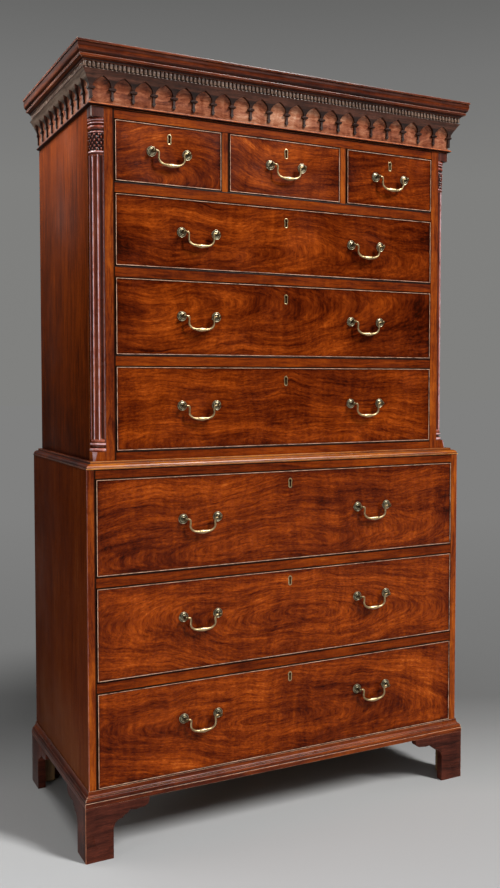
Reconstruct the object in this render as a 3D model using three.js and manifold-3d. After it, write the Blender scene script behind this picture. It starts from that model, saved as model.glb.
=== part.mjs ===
import * as THREE from 'three';
import { mergeVertices } from 'three/addons/utils/BufferGeometryUtils.js';
import Module from 'manifold-3d';

// A mahogany chest on chest with brass swan-neck handles.
// Millimetres. +X is to the right, the front faces -Y, +Z is up. Lengths along Y are measured back
// from the front of the lower case, and the finished chest is then centred over the origin.

// Plan of the two cases
const lowerWidth = 1040;
const lowerDepth = 500;
const upperSetback = 23;
const lowerSideThickness = 20;
const upperSideThickness = 18;
const cornerNotch = 30;
const stileWidth = 24;
const stileDepth = 55;
const backThickness = 12;

// Heights, from the floor up; drawer fronts are listed from the bottom
const footHeight = 127;
const baseMouldingHeight = 34;
const lowerFrontHeights = [219.5, 214.5, 221.5];
const lowerTopRailHeight = 21.3;
const upperBottomRailHeight = 37.6;
const upperFrontHeights = [194, 176, 163.5];
const smallFrontHeight = 138;
const upperTopRailHeight = 22.3;
const railHeight = 25;
const railDepth = 75;
const dustBoardThickness = 12;
const caseBoardThickness = 18;
const bottomBoardThickness = 20;
const guideHeight = 20;

// Clearances
const fit = 0.3;
const drawerGap = 1.2;
const weld = 0.0001;
const overrun = 1;

// Small drawers
const middleFrontWidth = 310;
const partitionThickness = 19.4;

// Drawer fronts and boxes
const frontThickness = 22;
const cockbeadWidth = 3;
const cockbeadProjection = 2;
const boxSideClearance = 1;
const boxSideThickness = 11;
const boxBottomThickness = 7;
const boxBottomRise = 6;
const boxTopDrop = 12;
const boxBackClearance = 8;

// Brass handles, and how far their posts stand above the middle of each front
const handleSpan = 89;
const lowerHandleOffset = 243;
const upperHandleOffset = 235;
const lowerHandleRises = [20.5, 20, 8.5];
const upperHandleRises = [5.5, 4.5, 4];
const smallHandleRise = 6;
const roseRadius = 12;
const roseRim = 1.6;
const roseDome = 4;
const stalkRadius = 3.4;
const headRadius = 5;
const postReach = 15;
const bailWireRadius = 1.8;
const bailPinRadius = 1.6;
const bailPinReach = 3;
const bailDrop = 31.5;
const boreClearance = 0.6;

// Keyhole escutcheons
const escutcheonWidth = 11;
const escutcheonHeight = 25;
const escutcheonThickness = 0.8;
const keyholeWidth = 5.6;
const keyholeHeight = 17.5;
const keyholeDepth = 12;
const lowerKeyholeDrops = [28.7, 27.4, 31];
const upperKeyholeDrops = [33, 33.5, 36];
const smallKeyholeDrop = 31.5;

// Mouldings
const baseProjection = 13;
const baseTopProjection = 2.5;
const waistHeight = 16.7;
const waistOverhang = 1.5;
const friezeThickness = 18;
const neckBeadHeight = 9;
const neckBeadProjection = 7;
const friezeGroundHeight = 5.7;
const fretHeight = 60;
const coveStart = 14;
const coveProjection = 15;
const fretThickness = 3;
const fretFrontBays = 20;
const fretSideBays = 10;
const corniceHeight = 55;
const corniceProjection = 42;
const dentilFilletHeight = 4;
const dentilGroundProjection = 17;
const dentilProjection = 22;
const dentilOverhang = 2;
const dentilHeight = 12;
const dentilWidth = 5.5;
const dentilPitch = 10.1;
const topCoverThickness = 16;

// Quarter columns
const columnInset = 3.5;
const columnBaseHeight = 25;
const columnCapitalHeight = 80;
const fluteDepth = 3.4;
const fluteEnd = 4;
const fluteCount = 3;
const blockChamferTop = 9.2;
const blockChamferFoot = 1.4;

// Bracket feet
const bracketWidth = 154;
const bracketThickness = 20;
const glueBlockWidth = 30;
const glueBlockRise = 9;

// Outlines, as shares of the width and height of what they shape. A third item draws a quarter
// curve to the point, which leaves its last point level or upright.
const LEVEL = 'level';
const UPRIGHT = 'upright';
const scrolledBracketShares = [
  [0, 0], [0.43, 0], [0.43, 0.535], [0.57, 0.71, UPRIGHT], [0.6, 0.765], [0.68, 0.835, LEVEL],
  [0.78, 0.82], [0.88, 0.835], [0.99, 0.92, LEVEL], [1, 1], [0, 1],
];
const plainBracketShares = [[0, 0], [0.43, 0], [1, 0.85], [1, 1], [0, 1]];
const baseProfileShares = [
  [1, 0], [1, 0.32], [0.88, 0.37], [0.62, 0.6, UPRIGHT], [0.54, 0.6], [0.54, 0.65],
  [0, 0.91, LEVEL], [0, 1],
];
const waistProfileShares = [
  [1, 0], [1, 0.15], [0.93, 0.19], [0.52, 0.7, UPRIGHT], [0.42, 0.7], [0.42, 1], [0, 1],
];
const crownProfileShares = [
  [0, 0], [0.56, 0.15, UPRIGHT], [0.56, 0.28], [0.5, 0.33], [0.9, 0.72, LEVEL], [0.87, 0.87],
  [1, 0.87], [1, 1],
];
const fretLevelShares = [0, 0.25, 0.275, 0.325, 0.35, 0.58, 0.73, 0.85, 1];
const fretWidthShares = [0.105, 0.105, 0.26, 0.26, 0.14, 0.3, 0.78, 1, 1];
const coveCurveShare = 0.92;
const bailShares = [
  [0.76, 0, 1], [0.685, 0.15, 1], [0.72, 0.45, 1], [0.74, 0.66, 1], [0.55, 0.92, 1.2], [0.26, 0.985, 1.7],
  [0, 1, 2.6],
];
const bailFlatShare = 0.75;
const escutcheonShares = [[0, 1], [0.75, 0.86], [1, 0.56], [0.9, -0.7], [0, -1]];
const keyholeShares = [[0, 1], [1, 0.68], [0.5, 0.38], [0.6, -0.8], [0, -1]];
const baseRingShares = [[0, 1], [0.36, 1], [0.44, 0.92], [0.68, 0.94], [0.8, 0.84], [1, 0.9]];
const capitalRingShares = [
  [0, 0.97], [0.07, 0.97], [0.11, 0.86], [0.42, 0.98], [0.46, 0.88], [0.84, 0.99], [0.88, 0.9], [1, 1],
];
const fluteLandShare = 0.24;
const flutePointShares = [[-1, 0], [-0.6, 0.75], [0, 1], [0.6, 0.75], [1, 0]];

const curveSteps = 4;
const postSides = 8;
const wireSides = 6;

const wasm = await Module();
wasm.setup();

// Solids and meshes

function facingOut(geometry) {
  const places = geometry.getAttribute('position');
  const index = geometry.index.array;
  const corners = [new THREE.Vector3(), new THREE.Vector3(), new THREE.Vector3()];
  let volume = 0;
  for (let first = 0; first < index.length; first += 3) {
    corners.forEach((corner, step) => corner.fromBufferAttribute(places, index[first + step]));
    volume += corners[0].dot(corners[1].cross(corners[2]));
  }
  if (volume < 0) {
    for (let first = 0; first < index.length; first += 3) {
      [index[first], index[first + 1]] = [index[first + 1], index[first]];
    }
  }
  return geometry;
}

function fromFaces(points, faces) {
  const geometry = new THREE.BufferGeometry();
  geometry.setAttribute('position', new THREE.Float32BufferAttribute(points.flatMap((p) => p.toArray()), 3));
  geometry.setIndex(new THREE.BufferAttribute(Uint32Array.from(faces), 1));
  return geometry;
}

function welded(geometry) {
  const plain = geometry.clone();
  plain.deleteAttribute('normal');
  plain.deleteAttribute('uv');
  return mergeVertices(plain, weld);
}

function toSolid(geometry) {
  const merged = welded(geometry);
  const vertProperties = Float32Array.from(merged.getAttribute('position').array);
  const triVerts = Uint32Array.from(merged.index.array);
  return new wasm.Manifold(new wasm.Mesh({ numProp: 3, vertProperties, triVerts }));
}

function toGeometry(solid) {
  const mesh = solid.getMesh();
  const geometry = new THREE.BufferGeometry();
  geometry.setAttribute('position', new THREE.BufferAttribute(mesh.vertProperties, mesh.numProp));
  geometry.setIndex(new THREE.BufferAttribute(mesh.triVerts, 1));
  geometry.computeVertexNormals();
  return geometry;
}

function joined(geometries, cutters = []) {
  const added = geometries.map(toSolid).reduce((whole, next) => whole.add(next));
  const cut = cutters.map(toSolid).reduce((whole, next) => whole.subtract(next), added);
  return toGeometry(cut);
}

function block([x0, x1], [y0, y1], [z0, z1]) {
  const box = new THREE.BoxGeometry(x1 - x0, y1 - y0, z1 - z0);
  return box.translate((x0 + x1) / 2, (y0 + y1) / 2, (z0 + z1) / 2);
}

// A closed skin over rings of points that all have the corners of the outline
function loft(rings, outline) {
  const count = outline.length;
  const faces = [];
  for (let ring = 0; ring + 1 < rings.length; ring += 1) {
    for (let corner = 0; corner < count; corner += 1) {
      const a = ring * count + corner;
      const b = ring * count + (corner + 1) % count;
      faces.push(a, b, b + count, a, b + count, a + count);
    }
  }
  const last = (rings.length - 1) * count;
  const turned = THREE.ShapeUtils.isClockWise(outline);
  for (const face of THREE.ShapeUtils.triangulateShape(outline, [])) {
    const [a, b, c] = turned ? face.slice().reverse() : face;
    faces.push(c, b, a, last + a, last + b, last + c);
  }
  return facingOut(fromFaces(rings.flat(), faces));
}

// Outlines

function quarterCurve([x0, y0], [x1, y1], start) {
  return Array.from({ length: curveSteps }, (unused, step) => {
    const angle = ((step + 1) / curveSteps) * (Math.PI / 2);
    const late = 1 - Math.cos(angle);
    const early = Math.sin(angle);
    const [acrossShare, upShare] = start === LEVEL ? [early, late] : [late, early];
    return [x0 + (x1 - x0) * acrossShare, y0 + (y1 - y0) * upShare];
  });
}

function outlineFrom(shares, width, height) {
  const points = [];
  for (const [acrossShare, upShare, curve] of shares) {
    const point = [acrossShare * width, upShare * height];
    points.push(...(curve ? quarterCurve(points.at(-1), point, curve) : [point]));
  }
  return points;
}

function bothHalves(shares, width, height) {
  const right = outlineFrom(shares, width / 2, height / 2);
  const left = right.slice(1, -1).reverse().map(([x, z]) => [-x, z]);
  return [...right, ...left];
}

function flatShape(points) {
  return new THREE.Shape(points.map(([x, y]) => new THREE.Vector2(x, y)));
}

// A plate that stands upright on an outline in X and Z, its thickness along +Y
function upright(points, thickness) {
  const plate = new THREE.ExtrudeGeometry(flatShape(points), { depth: thickness, bevelEnabled: false });
  return plate.rotateX(Math.PI / 2).translate(0, thickness, 0);
}

// A moulding that runs along the left side, the front and the right side, mitred at the front corners.
// Its profile gives how far each point stands out from the case, and its height.
function mouldingRound(profile, half, front) {
  const stations = [
    (out, z) => new THREE.Vector3(-half - out, lowerDepth, z),
    (out, z) => new THREE.Vector3(-half - out, front - out, z),
    (out, z) => new THREE.Vector3(half + out, front - out, z),
    (out, z) => new THREE.Vector3(half + out, lowerDepth, z),
  ];
  const rings = stations.map((station) => profile.map(([out, z]) => station(out, z)));
  return loft(rings, profile.map(([out, z]) => new THREE.Vector2(out, z)));
}

// Heights of the openings, from the bottom one up
function openingsAbove(floor, heights) {
  const openings = [];
  let bottom = floor;
  for (const height of heights) {
    const top = bottom + height + 2 * drawerGap;
    openings.push({ bottom, top, height });
    bottom = top + railHeight;
  }
  return openings;
}

const lowerHalf = lowerWidth / 2;
const lowerOpeningHalf = lowerHalf - lowerSideThickness;
const upperHalf = lowerHalf - upperSetback;
const upperOpeningHalf = upperHalf - cornerNotch - stileWidth;
const upperFront = upperSetback;
const backFace = lowerDepth - backThickness;
const boardBack = backFace - fit;
const lowerOpenings = openingsAbove(footHeight + baseMouldingHeight, lowerFrontHeights);
const lowerTop = lowerOpenings.at(-1).top + lowerTopRailHeight;
const upperBottom = lowerTop + fit;
const upperOpenings = openingsAbove(
  upperBottom + upperBottomRailHeight,
  [...upperFrontHeights, smallFrontHeight],
);
const columnBottom = upperOpenings[0].bottom + fit;
const columnTop = upperOpenings.at(-1).top - fit;
const upperTop = upperOpenings.at(-1).top + upperTopRailHeight;
const friezeBottom = upperTop + fit;
const fretBottom = friezeBottom + neckBeadHeight + friezeGroundHeight;
const friezeTop = fretBottom + fretHeight;
const corniceBottom = friezeTop + fit;
const corniceTop = corniceBottom + corniceHeight;
const coverBottom = corniceTop - topCoverThickness;

// Materials

const woodFinish = { roughness: 0.35, metalness: 0 };
const mahogany = new THREE.MeshStandardMaterial({ color: 0x7a3212, ...woodFinish });
const flameMahogany = new THREE.MeshStandardMaterial({ color: 0x8e3f14, ...woodFinish });
const darkMahogany = new THREE.MeshStandardMaterial({ color: 0x4c2414, ...woodFinish });
const oak = new THREE.MeshStandardMaterial({ color: 0x9c7448, roughness: 0.7, metalness: 0 });
const brass = new THREE.MeshStandardMaterial({ color: 0xb59a62, roughness: 0.35, metalness: 1 });

function piece(name, geometry, material) {
  const mesh = new THREE.Mesh(welded(geometry), material.clone());
  mesh.geometry.computeVertexNormals();
  mesh.name = name;
  return mesh;
}

function sideways(side, inner, outer) {
  return side < 0 ? [-outer, -inner] : [inner, outer];
}

// Lower case

function lowerSide(side) {
  return block(sideways(side, lowerOpeningHalf, lowerHalf), [0, lowerDepth], [footHeight, lowerTop]);
}

// A board between the sides whose front edge is thickened into a rail
function railedBoard({ half, railHalf, front, boardFront, bottom, top, thickness }) {
  const rail = block([-railHalf, railHalf], [front, front + railDepth], [bottom, top]);
  const board = block([-half, half], [boardFront, boardBack], [top - thickness, top]);
  return [rail, board];
}

function lowerBoard(bottom, top, thickness) {
  const half = lowerOpeningHalf - fit;
  return joined(railedBoard({ half, railHalf: half, front: 0, boardFront: 0, bottom, top, thickness }));
}

const baseMoulding = mouldingRound([
  [fit, footHeight],
  ...outlineFrom(baseProfileShares, baseProjection - baseTopProjection, baseMouldingHeight)
    .map(([out, rise]) => [baseTopProjection + out, footHeight + rise]),
  [fit, footHeight + baseMouldingHeight],
], lowerHalf, 0);

const waistInner = -(upperSetback - fit);
const waistMoulding = mouldingRound([
  [waistInner, upperBottom],
  ...outlineFrom(waistProfileShares, waistOverhang - waistInner, waistHeight).slice(0, -1)
    .map(([out, rise]) => [waistInner + out, upperBottom + rise]),
  [waistInner, upperBottom + waistHeight],
], lowerHalf, 0);

// Two brackets that meet at a corner at the origin, one along +X and one along +Y
function foot(alongShares, backwardShares) {
  const top = footHeight - fit;
  const along = upright(outlineFrom(alongShares, bracketWidth, top), bracketThickness);
  const backward = upright(outlineFrom(backwardShares, bracketWidth, top), bracketThickness);
  backward.rotateZ(Math.PI / 2).translate(bracketThickness, 0, 0);
  const glued = [bracketThickness / 2, bracketThickness + glueBlockWidth];
  return joined([along, backward, block(glued, glued, [glueBlockRise, top])]);
}

function placedFoot(name, geometry, side, y, turn) {
  const mesh = piece(name, geometry, mahogany);
  mesh.position.set(side * (lowerHalf + baseProjection), y, 0);
  mesh.rotation.z = turn;
  return mesh;
}

const lowerCase = new THREE.Group();
lowerCase.add(piece('lower_side_left', lowerSide(-1), mahogany));
lowerCase.add(piece('lower_side_right', lowerSide(1), mahogany));
lowerCase.add(piece(
  'lower_bottom_board',
  block([fit - lowerOpeningHalf, lowerOpeningHalf - fit], [0, boardBack],
    [lowerOpenings[0].bottom - bottomBoardThickness, lowerOpenings[0].bottom]),
  oak,
));
lowerCase.add(piece(
  'lower_top_board',
  lowerBoard(lowerOpenings.at(-1).top, lowerTop, caseBoardThickness),
  mahogany,
));
lowerOpenings.slice(0, -1).forEach((opening, place, dividers) => {
  const name = `lower_divider_${dividers.length - place}`;
  lowerCase.add(piece(name, lowerBoard(opening.top, opening.top + railHeight, dustBoardThickness), mahogany));
});
lowerCase.add(piece(
  'lower_back',
  block([fit - lowerOpeningHalf, lowerOpeningHalf - fit], [backFace, lowerDepth], [footHeight, lowerTop]),
  oak,
));
lowerCase.add(piece('base_moulding', baseMoulding, mahogany));
lowerCase.add(piece('waist_moulding', waistMoulding, mahogany));
const frontFoot = foot(scrolledBracketShares, scrolledBracketShares);
lowerCase.add(placedFoot('foot_front_left', frontFoot, -1, -baseProjection, 0));
lowerCase.add(placedFoot('foot_front_right', frontFoot, 1, -baseProjection, Math.PI / 2));
const backLeftFoot = foot(scrolledBracketShares, plainBracketShares);
lowerCase.add(placedFoot('foot_back_left', backLeftFoot, -1, lowerDepth, -Math.PI / 2));
const backRightFoot = foot(plainBracketShares, scrolledBracketShares);
lowerCase.add(placedFoot('foot_back_right', backRightFoot, 1, lowerDepth, Math.PI));

// Upper case

const upperInnerHalf = upperHalf - upperSideThickness;
const stileBack = upperFront + stileDepth;
const notchHalf = upperHalf - cornerNotch;
const notchBack = upperFront + cornerNotch;

function squareBlock(side, bottom, top, footChamfer, topChamfer) {
  const inner = notchHalf - overrun;
  const back = notchBack + overrun;
  const corners = (chamfer) => [
    [inner, back], [inner, upperFront], [upperHalf - chamfer, upperFront],
    [upperHalf, upperFront + chamfer], [upperHalf, back],
  ].map(([x, y]) => new THREE.Vector2(side * x, y));
  const ring = (chamfer, z) => corners(chamfer).map(({ x, y }) => new THREE.Vector3(x, y, z));
  return loft([ring(footChamfer, bottom), ring(topChamfer, top)], corners(topChamfer));
}

// The side board, the corner post with the stile on its front, the blocks over and under the
// column, and the strips that guide the drawers behind the stile
function upperSide(side) {
  const plan = [
    [upperHalf, notchBack], [notchHalf, notchBack], [notchHalf, upperFront], [upperOpeningHalf, upperFront],
    [upperOpeningHalf, stileBack], [upperInnerHalf, stileBack], [upperInnerHalf, lowerDepth],
    [upperHalf, lowerDepth],
  ];
  const shape = flatShape(plan.map(([x, y]) => [side * x, y]));
  const board = new THREE.ExtrudeGeometry(shape, { depth: upperTop - upperBottom, bevelEnabled: false });
  board.translate(0, 0, upperBottom);
  const guides = upperOpenings.map(({ bottom }) => block(
    sideways(side, upperOpeningHalf, upperInnerHalf + overrun),
    [stileBack - overrun, boardBack],
    [bottom + fit, bottom + fit + guideHeight],
  ));
  const low = squareBlock(side, upperBottom, columnBottom - fit, blockChamferFoot, blockChamferTop);
  const high = squareBlock(side, columnTop + fit, upperTop, blockChamferFoot, blockChamferFoot);
  return joined([board, low, high, ...guides]);
}

// A quarter-round ring whose flutes sink by the given depth, with the notch's corner as its centre
function columnRing(radius, depth, z) {
  const centre = [notchHalf + fit, notchBack - fit];
  const spacing = Math.PI / 2 / fluteCount;
  const halfAngle = (spacing * (1 - fluteLandShare)) / 2;
  const turns = [[0, 0]];
  for (let flute = 0; flute < fluteCount; flute += 1) {
    for (const [angleShare, depthShare] of flutePointShares) {
      turns.push([(flute + 1 / 2) * spacing + angleShare * halfAngle, depth * depthShare]);
    }
  }
  turns.push([Math.PI / 2, 0]);
  const arc = turns.map(([angle, sunk]) => [
    centre[0] + (radius - sunk) * Math.cos(angle),
    centre[1] - (radius - sunk) * Math.sin(angle),
  ]);
  return [centre, ...arc].map(([x, y]) => new THREE.Vector3(x, y, z));
}

function quarterColumn() {
  const widest = cornerNotch - 2 * fit;
  const shaft = widest - columnInset;
  const baseTop = columnBottom + columnBaseHeight;
  const capitalBottom = columnTop - columnCapitalHeight;
  const rings = [
    ...baseRingShares.map(([rise, radius]) => (
      columnRing(radius * widest, 0, columnBottom + rise * columnBaseHeight)
    )),
    columnRing(shaft, 0, baseTop + fluteEnd),
    columnRing(shaft, fluteDepth, baseTop + 2 * fluteEnd),
    columnRing(shaft, fluteDepth, capitalBottom - 2 * fluteEnd),
    columnRing(shaft, 0, capitalBottom - fluteEnd),
    ...capitalRingShares.map(([rise, radius]) => (
      columnRing(radius * widest, 0, capitalBottom + rise * columnCapitalHeight)
    )),
  ];
  return loft(rings, rings[0].map(({ x, y }) => new THREE.Vector2(x, y)));
}

function mirrored(geometry) {
  return facingOut(geometry.clone().scale(-1, 1, 1));
}

function upperBoard(bottom, top, thickness) {
  return railedBoard({
    half: upperInnerHalf - fit,
    railHalf: upperOpeningHalf - fit,
    front: upperFront,
    boardFront: stileBack + fit,
    bottom,
    top,
    thickness,
  });
}

function partition(side, opening) {
  const inner = middleFrontWidth / 2 + drawerGap;
  const across = sideways(side, inner, inner + partitionThickness);
  return block(across, [upperFront, boardBack], [opening.bottom - overrun, opening.top - fit]);
}

const upperCase = new THREE.Group();
upperCase.add(piece('upper_side_left', upperSide(-1), mahogany));
upperCase.add(piece('upper_side_right', upperSide(1), mahogany));
upperCase.add(piece('quarter_column_left', mirrored(quarterColumn()), darkMahogany));
upperCase.add(piece('quarter_column_right', quarterColumn(), darkMahogany));
upperCase.add(piece(
  'upper_bottom_board',
  joined(upperBoard(upperBottom, upperOpenings[0].bottom, bottomBoardThickness)),
  mahogany,
));
upperCase.add(piece(
  'upper_top_board',
  joined(upperBoard(upperOpenings.at(-1).top, upperTop, caseBoardThickness)),
  mahogany,
));
upperOpenings.slice(0, -2).forEach((opening, place, dividers) => {
  const rail = upperBoard(opening.top, opening.top + railHeight, dustBoardThickness);
  upperCase.add(piece(`upper_divider_${dividers.length - place}`, joined(rail), mahogany));
});
const smallOpening = upperOpenings.at(-1);
const smallFloor = upperBoard(smallOpening.bottom - railHeight, smallOpening.bottom, dustBoardThickness);
upperCase.add(piece(
  'small_drawer_divider',
  joined([...smallFloor, partition(-1, smallOpening), partition(1, smallOpening)]),
  mahogany,
));
upperCase.add(piece(
  'upper_back',
  block(
    [fit - upperInnerHalf, upperInnerHalf - fit],
    [backFace, lowerDepth],
    [upperBottom, coverBottom - fit],
  ),
  oak,
));

// Frieze, with the neck bead under its cove

function coveOut(z) {
  const share = Math.max(0, z - fretBottom - coveStart) / (fretHeight - coveStart);
  const curve = (reach) => 1 - Math.sqrt(1 - (coveCurveShare * reach) ** 2);
  return (coveProjection * curve(share)) / curve(1);
}

const fretLevels = fretLevelShares.map((share) => fretBottom + share * fretHeight);
const neckBead = Array.from({ length: curveSteps + 1 }, (unused, step) => {
  const angle = (step / curveSteps) * Math.PI;
  return [neckBeadProjection * Math.sin(angle), friezeBottom + (neckBeadHeight * (1 - Math.cos(angle))) / 2];
});
const friezeProfile = [
  [-friezeThickness, friezeBottom],
  ...neckBead,
  ...fretLevels.map((z) => [coveOut(z), z]),
  [-friezeThickness, friezeTop],
];
upperCase.add(piece('frieze', mouldingRound(friezeProfile, upperHalf, upperFront), flameMahogany));

// Fretwork. Each pendant gives the points of its edges, from the left side round to the right, for a
// half width that is a share of half a bay, and for how far the sheet stands out.

const frontBay = (2 * upperHalf) / fretFrontBays;
const sideBay = (lowerDepth - upperFront) / fretSideBays;

function fretPendants() {
  const half = (share, bay) => (share * bay) / 2;
  const leftSide = (bay) => (share, out) => [
    [-upperHalf - out, Math.min(lowerDepth, upperFront + bay * sideBay + half(share, sideBay))],
    [-upperHalf - out, upperFront + bay * sideBay - half(share, sideBay)],
  ];
  const leftCorner = (share, out) => [
    [-upperHalf - out, upperFront + half(share, sideBay)],
    [-upperHalf - out, upperFront - out],
    [-upperHalf + half(share, frontBay), upperFront - out],
  ];
  const frontPendant = (bay) => (share, out) => [
    [-upperHalf + bay * frontBay - half(share, frontBay), upperFront - out],
    [-upperHalf + bay * frontBay + half(share, frontBay), upperFront - out],
  ];
  const toRight = (pendant) => (share, out) => pendant(share, out).reverse().map(([x, y]) => [-x, y]);
  const sides = Array.from({ length: fretSideBays }, (unused, place) => leftSide(fretSideBays - place));
  const fronts = Array.from({ length: fretFrontBays - 1 }, (unused, place) => frontPendant(place + 1));
  const left = [...sides, leftCorner];
  return [...left, ...fronts, ...left.slice().reverse().map(toRight)];
}

function fretwork() {
  const points = [];
  const faces = [];
  const quad = (a, b, c, d) => {
    const first = points.length;
    points.push(a, b, c, d);
    faces.push(first, first + 1, first + 2, first, first + 2, first + 3);
  };
  const pendants = fretPendants();
  pendants.forEach((pendant, place) => {
    const rows = fretLevels.map((z, level) => {
      const behind = coveOut(z) + fit;
      const row = (out) => pendant(fretWidthShares[level], out).map(([x, y]) => new THREE.Vector3(x, y, z));
      return { outer: row(behind + fretThickness), inner: row(behind) };
    });
    const last = rows[0].outer.length - 1;
    rows.slice(0, -1).forEach((low, level) => {
      const high = rows[level + 1];
      for (let edge = 0; edge < last; edge += 1) {
        quad(low.outer[edge], low.outer[edge + 1], high.outer[edge + 1], high.outer[edge]);
        quad(low.inner[edge + 1], low.inner[edge], high.inner[edge], high.inner[edge + 1]);
      }
      const closedBand = fretWidthShares[level] === 1 && fretWidthShares[level + 1] === 1;
      if (!closedBand || place === 0) {
        quad(low.inner[0], low.outer[0], high.outer[0], high.inner[0]);
      }
      if (!closedBand || place === pendants.length - 1) {
        quad(low.outer[last], low.inner[last], high.inner[last], high.outer[last]);
      }
    });
    const [bottom, top] = [rows[0], rows.at(-1)];
    for (let edge = 0; edge < last; edge += 1) {
      quad(bottom.outer[edge], bottom.inner[edge], bottom.inner[edge + 1], bottom.outer[edge + 1]);
      quad(top.outer[edge], top.outer[edge + 1], top.inner[edge + 1], top.inner[edge]);
    }
  });
  return facingOut(fromFaces(points, faces));
}

upperCase.add(piece('fretwork', fretwork(), darkMahogany));

// Cornice, with its dentils

function dentils() {
  const bottom = corniceBottom + dentilFilletHeight;
  const heights = [bottom, bottom + dentilHeight + overrun];
  const outer = upperHalf + dentilProjection;
  const inner = upperHalf + dentilGroundProjection - overrun / 2;
  const frontFace = upperFront - dentilProjection;
  const frontBack = upperFront - dentilGroundProjection + overrun / 2;
  const frontCount = Math.round((2 * outer - dentilWidth) / dentilPitch);
  const frontStep = (2 * outer - dentilWidth) / frontCount;
  const sideCount = Math.floor((lowerDepth - frontFace - dentilWidth) / dentilPitch);
  const teeth = [];
  for (let tooth = 0; tooth <= frontCount; tooth += 1) {
    const left = tooth * frontStep - outer;
    teeth.push(block([left, left + dentilWidth], [frontFace, frontBack], heights));
  }
  for (let tooth = 1; tooth <= sideCount; tooth += 1) {
    const front = frontFace + tooth * dentilPitch;
    for (const side of [-1, 1]) {
      teeth.push(block(sideways(side, inner, outer), [front, front + dentilWidth], heights));
    }
  }
  return teeth;
}

const crownBottom = corniceBottom + dentilFilletHeight + dentilHeight;
const crownStart = dentilProjection + dentilOverhang;
const cornice = mouldingRound([
  [-friezeThickness, corniceBottom],
  [dentilGroundProjection, corniceBottom],
  [dentilGroundProjection, crownBottom],
  ...outlineFrom(crownProfileShares, corniceProjection - crownStart, corniceTop - crownBottom)
    .map(([out, rise]) => [crownStart + out, crownBottom + rise]),
  [0, corniceTop],
  [0, coverBottom - fit],
  [-friezeThickness, coverBottom - fit],
], upperHalf, upperFront);
upperCase.add(piece('cornice', joined([cornice, ...dentils()]), mahogany));
upperCase.add(piece(
  'top_cover',
  block([fit - upperHalf, upperHalf - fit], [upperFront + fit, lowerDepth], [coverBottom, corniceTop]),
  oak,
));

// Drawer handles. A post and its rose stand on the face, with the head bored for the bail's pin.

function post() {
  const profile = [
    [0, -overrun], [roseRadius, -overrun], [roseRadius, roseRim], [stalkRadius, roseDome],
    [stalkRadius, postReach - headRadius], [headRadius, postReach - headRadius / 2],
    [headRadius, postReach + headRadius / 2], [0, postReach + headRadius],
  ];
  const lathe = new THREE.LatheGeometry(profile.map(([r, y]) => new THREE.Vector2(r, y)), postSides);
  return lathe.rotateX(Math.PI);
}

// The bore opens towards the other post of the handle
function postBore(towards) {
  const deep = bailPinReach + boreClearance;
  const length = deep + headRadius + overrun;
  const radius = bailPinRadius + boreClearance;
  const bore = new THREE.CylinderGeometry(radius, radius, length, wireSides);
  return bore.rotateZ(Math.PI / 2).translate(towards * (length / 2 - deep), -postReach, 0);
}

// The bail hangs from the line between its two pins
function bail() {
  const halfSpan = handleSpan / 2;
  const half = [
    { x: halfSpan + bailPinReach, z: 0, radius: bailPinRadius, swell: 1 },
    ...bailShares.map(([across, down, swell]) => ({
      x: across * halfSpan, z: -down * bailDrop, radius: bailWireRadius, swell,
    })),
  ];
  const left = half.map((station) => ({ ...station, x: -station.x }));
  const stations = [...left, ...half.slice(0, -1).reverse()];
  const rings = stations.map(({ x, z, radius, swell }, place) => {
    const before = stations[Math.max(0, place - 1)];
    const after = stations[Math.min(stations.length - 1, place + 1)];
    const along = new THREE.Vector2(after.x - before.x, after.z - before.z).normalize();
    return Array.from({ length: wireSides }, (unused, side) => {
      const angle = (side / wireSides) * Math.PI * 2;
      const up = radius * swell * Math.cos(angle);
      const out = radius * (1 + (swell - 1) * bailFlatShare) * Math.sin(angle);
      return new THREE.Vector3(x - along.y * up, out, z + along.x * up);
    });
  });
  const outline = Array.from({ length: wireSides }, (unused, side) => {
    const angle = (side / wireSides) * Math.PI * 2;
    return new THREE.Vector2(Math.cos(angle), Math.sin(angle));
  });
  return loft(rings, outline);
}

// Drawers. Each has its origin at the middle of the front's lower edge, on the face.

function drawerFront(width, height, handles, keyholeDrop) {
  const half = width / 2;
  const board = block([-half, half], [-cockbeadProjection, frontThickness], [0, height]);
  const field = block(
    [cockbeadWidth - half, half - cockbeadWidth],
    [-cockbeadProjection - overrun, 0],
    [cockbeadWidth, height - cockbeadWidth],
  );
  const keyholeCentre = height - keyholeDrop;
  const plateOutline = bothHalves(escutcheonShares, escutcheonWidth, escutcheonHeight);
  const plate = upright(plateOutline, escutcheonThickness + overrun);
  plate.translate(0, -escutcheonThickness, keyholeCentre);
  const keyhole = upright(bothHalves(keyholeShares, keyholeWidth, keyholeHeight), keyholeDepth + 2 * overrun);
  keyhole.translate(0, -2 * overrun, keyholeCentre);
  const posts = [];
  const bores = [];
  for (const { x, z } of handles) {
    for (const side of [-1, 1]) {
      const place = x + (side * handleSpan) / 2;
      posts.push(post().translate(place, 0, z));
      bores.push(postBore(-side).translate(place, 0, z));
    }
  }
  const faced = toSolid(board).subtract(toSolid(field));
  const plated = [plate, ...posts].map(toSolid).reduce((whole, next) => whole.add(next), faced);
  return toGeometry([keyhole, ...bores].map(toSolid).reduce((whole, next) => whole.subtract(next), plated));
}

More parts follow.
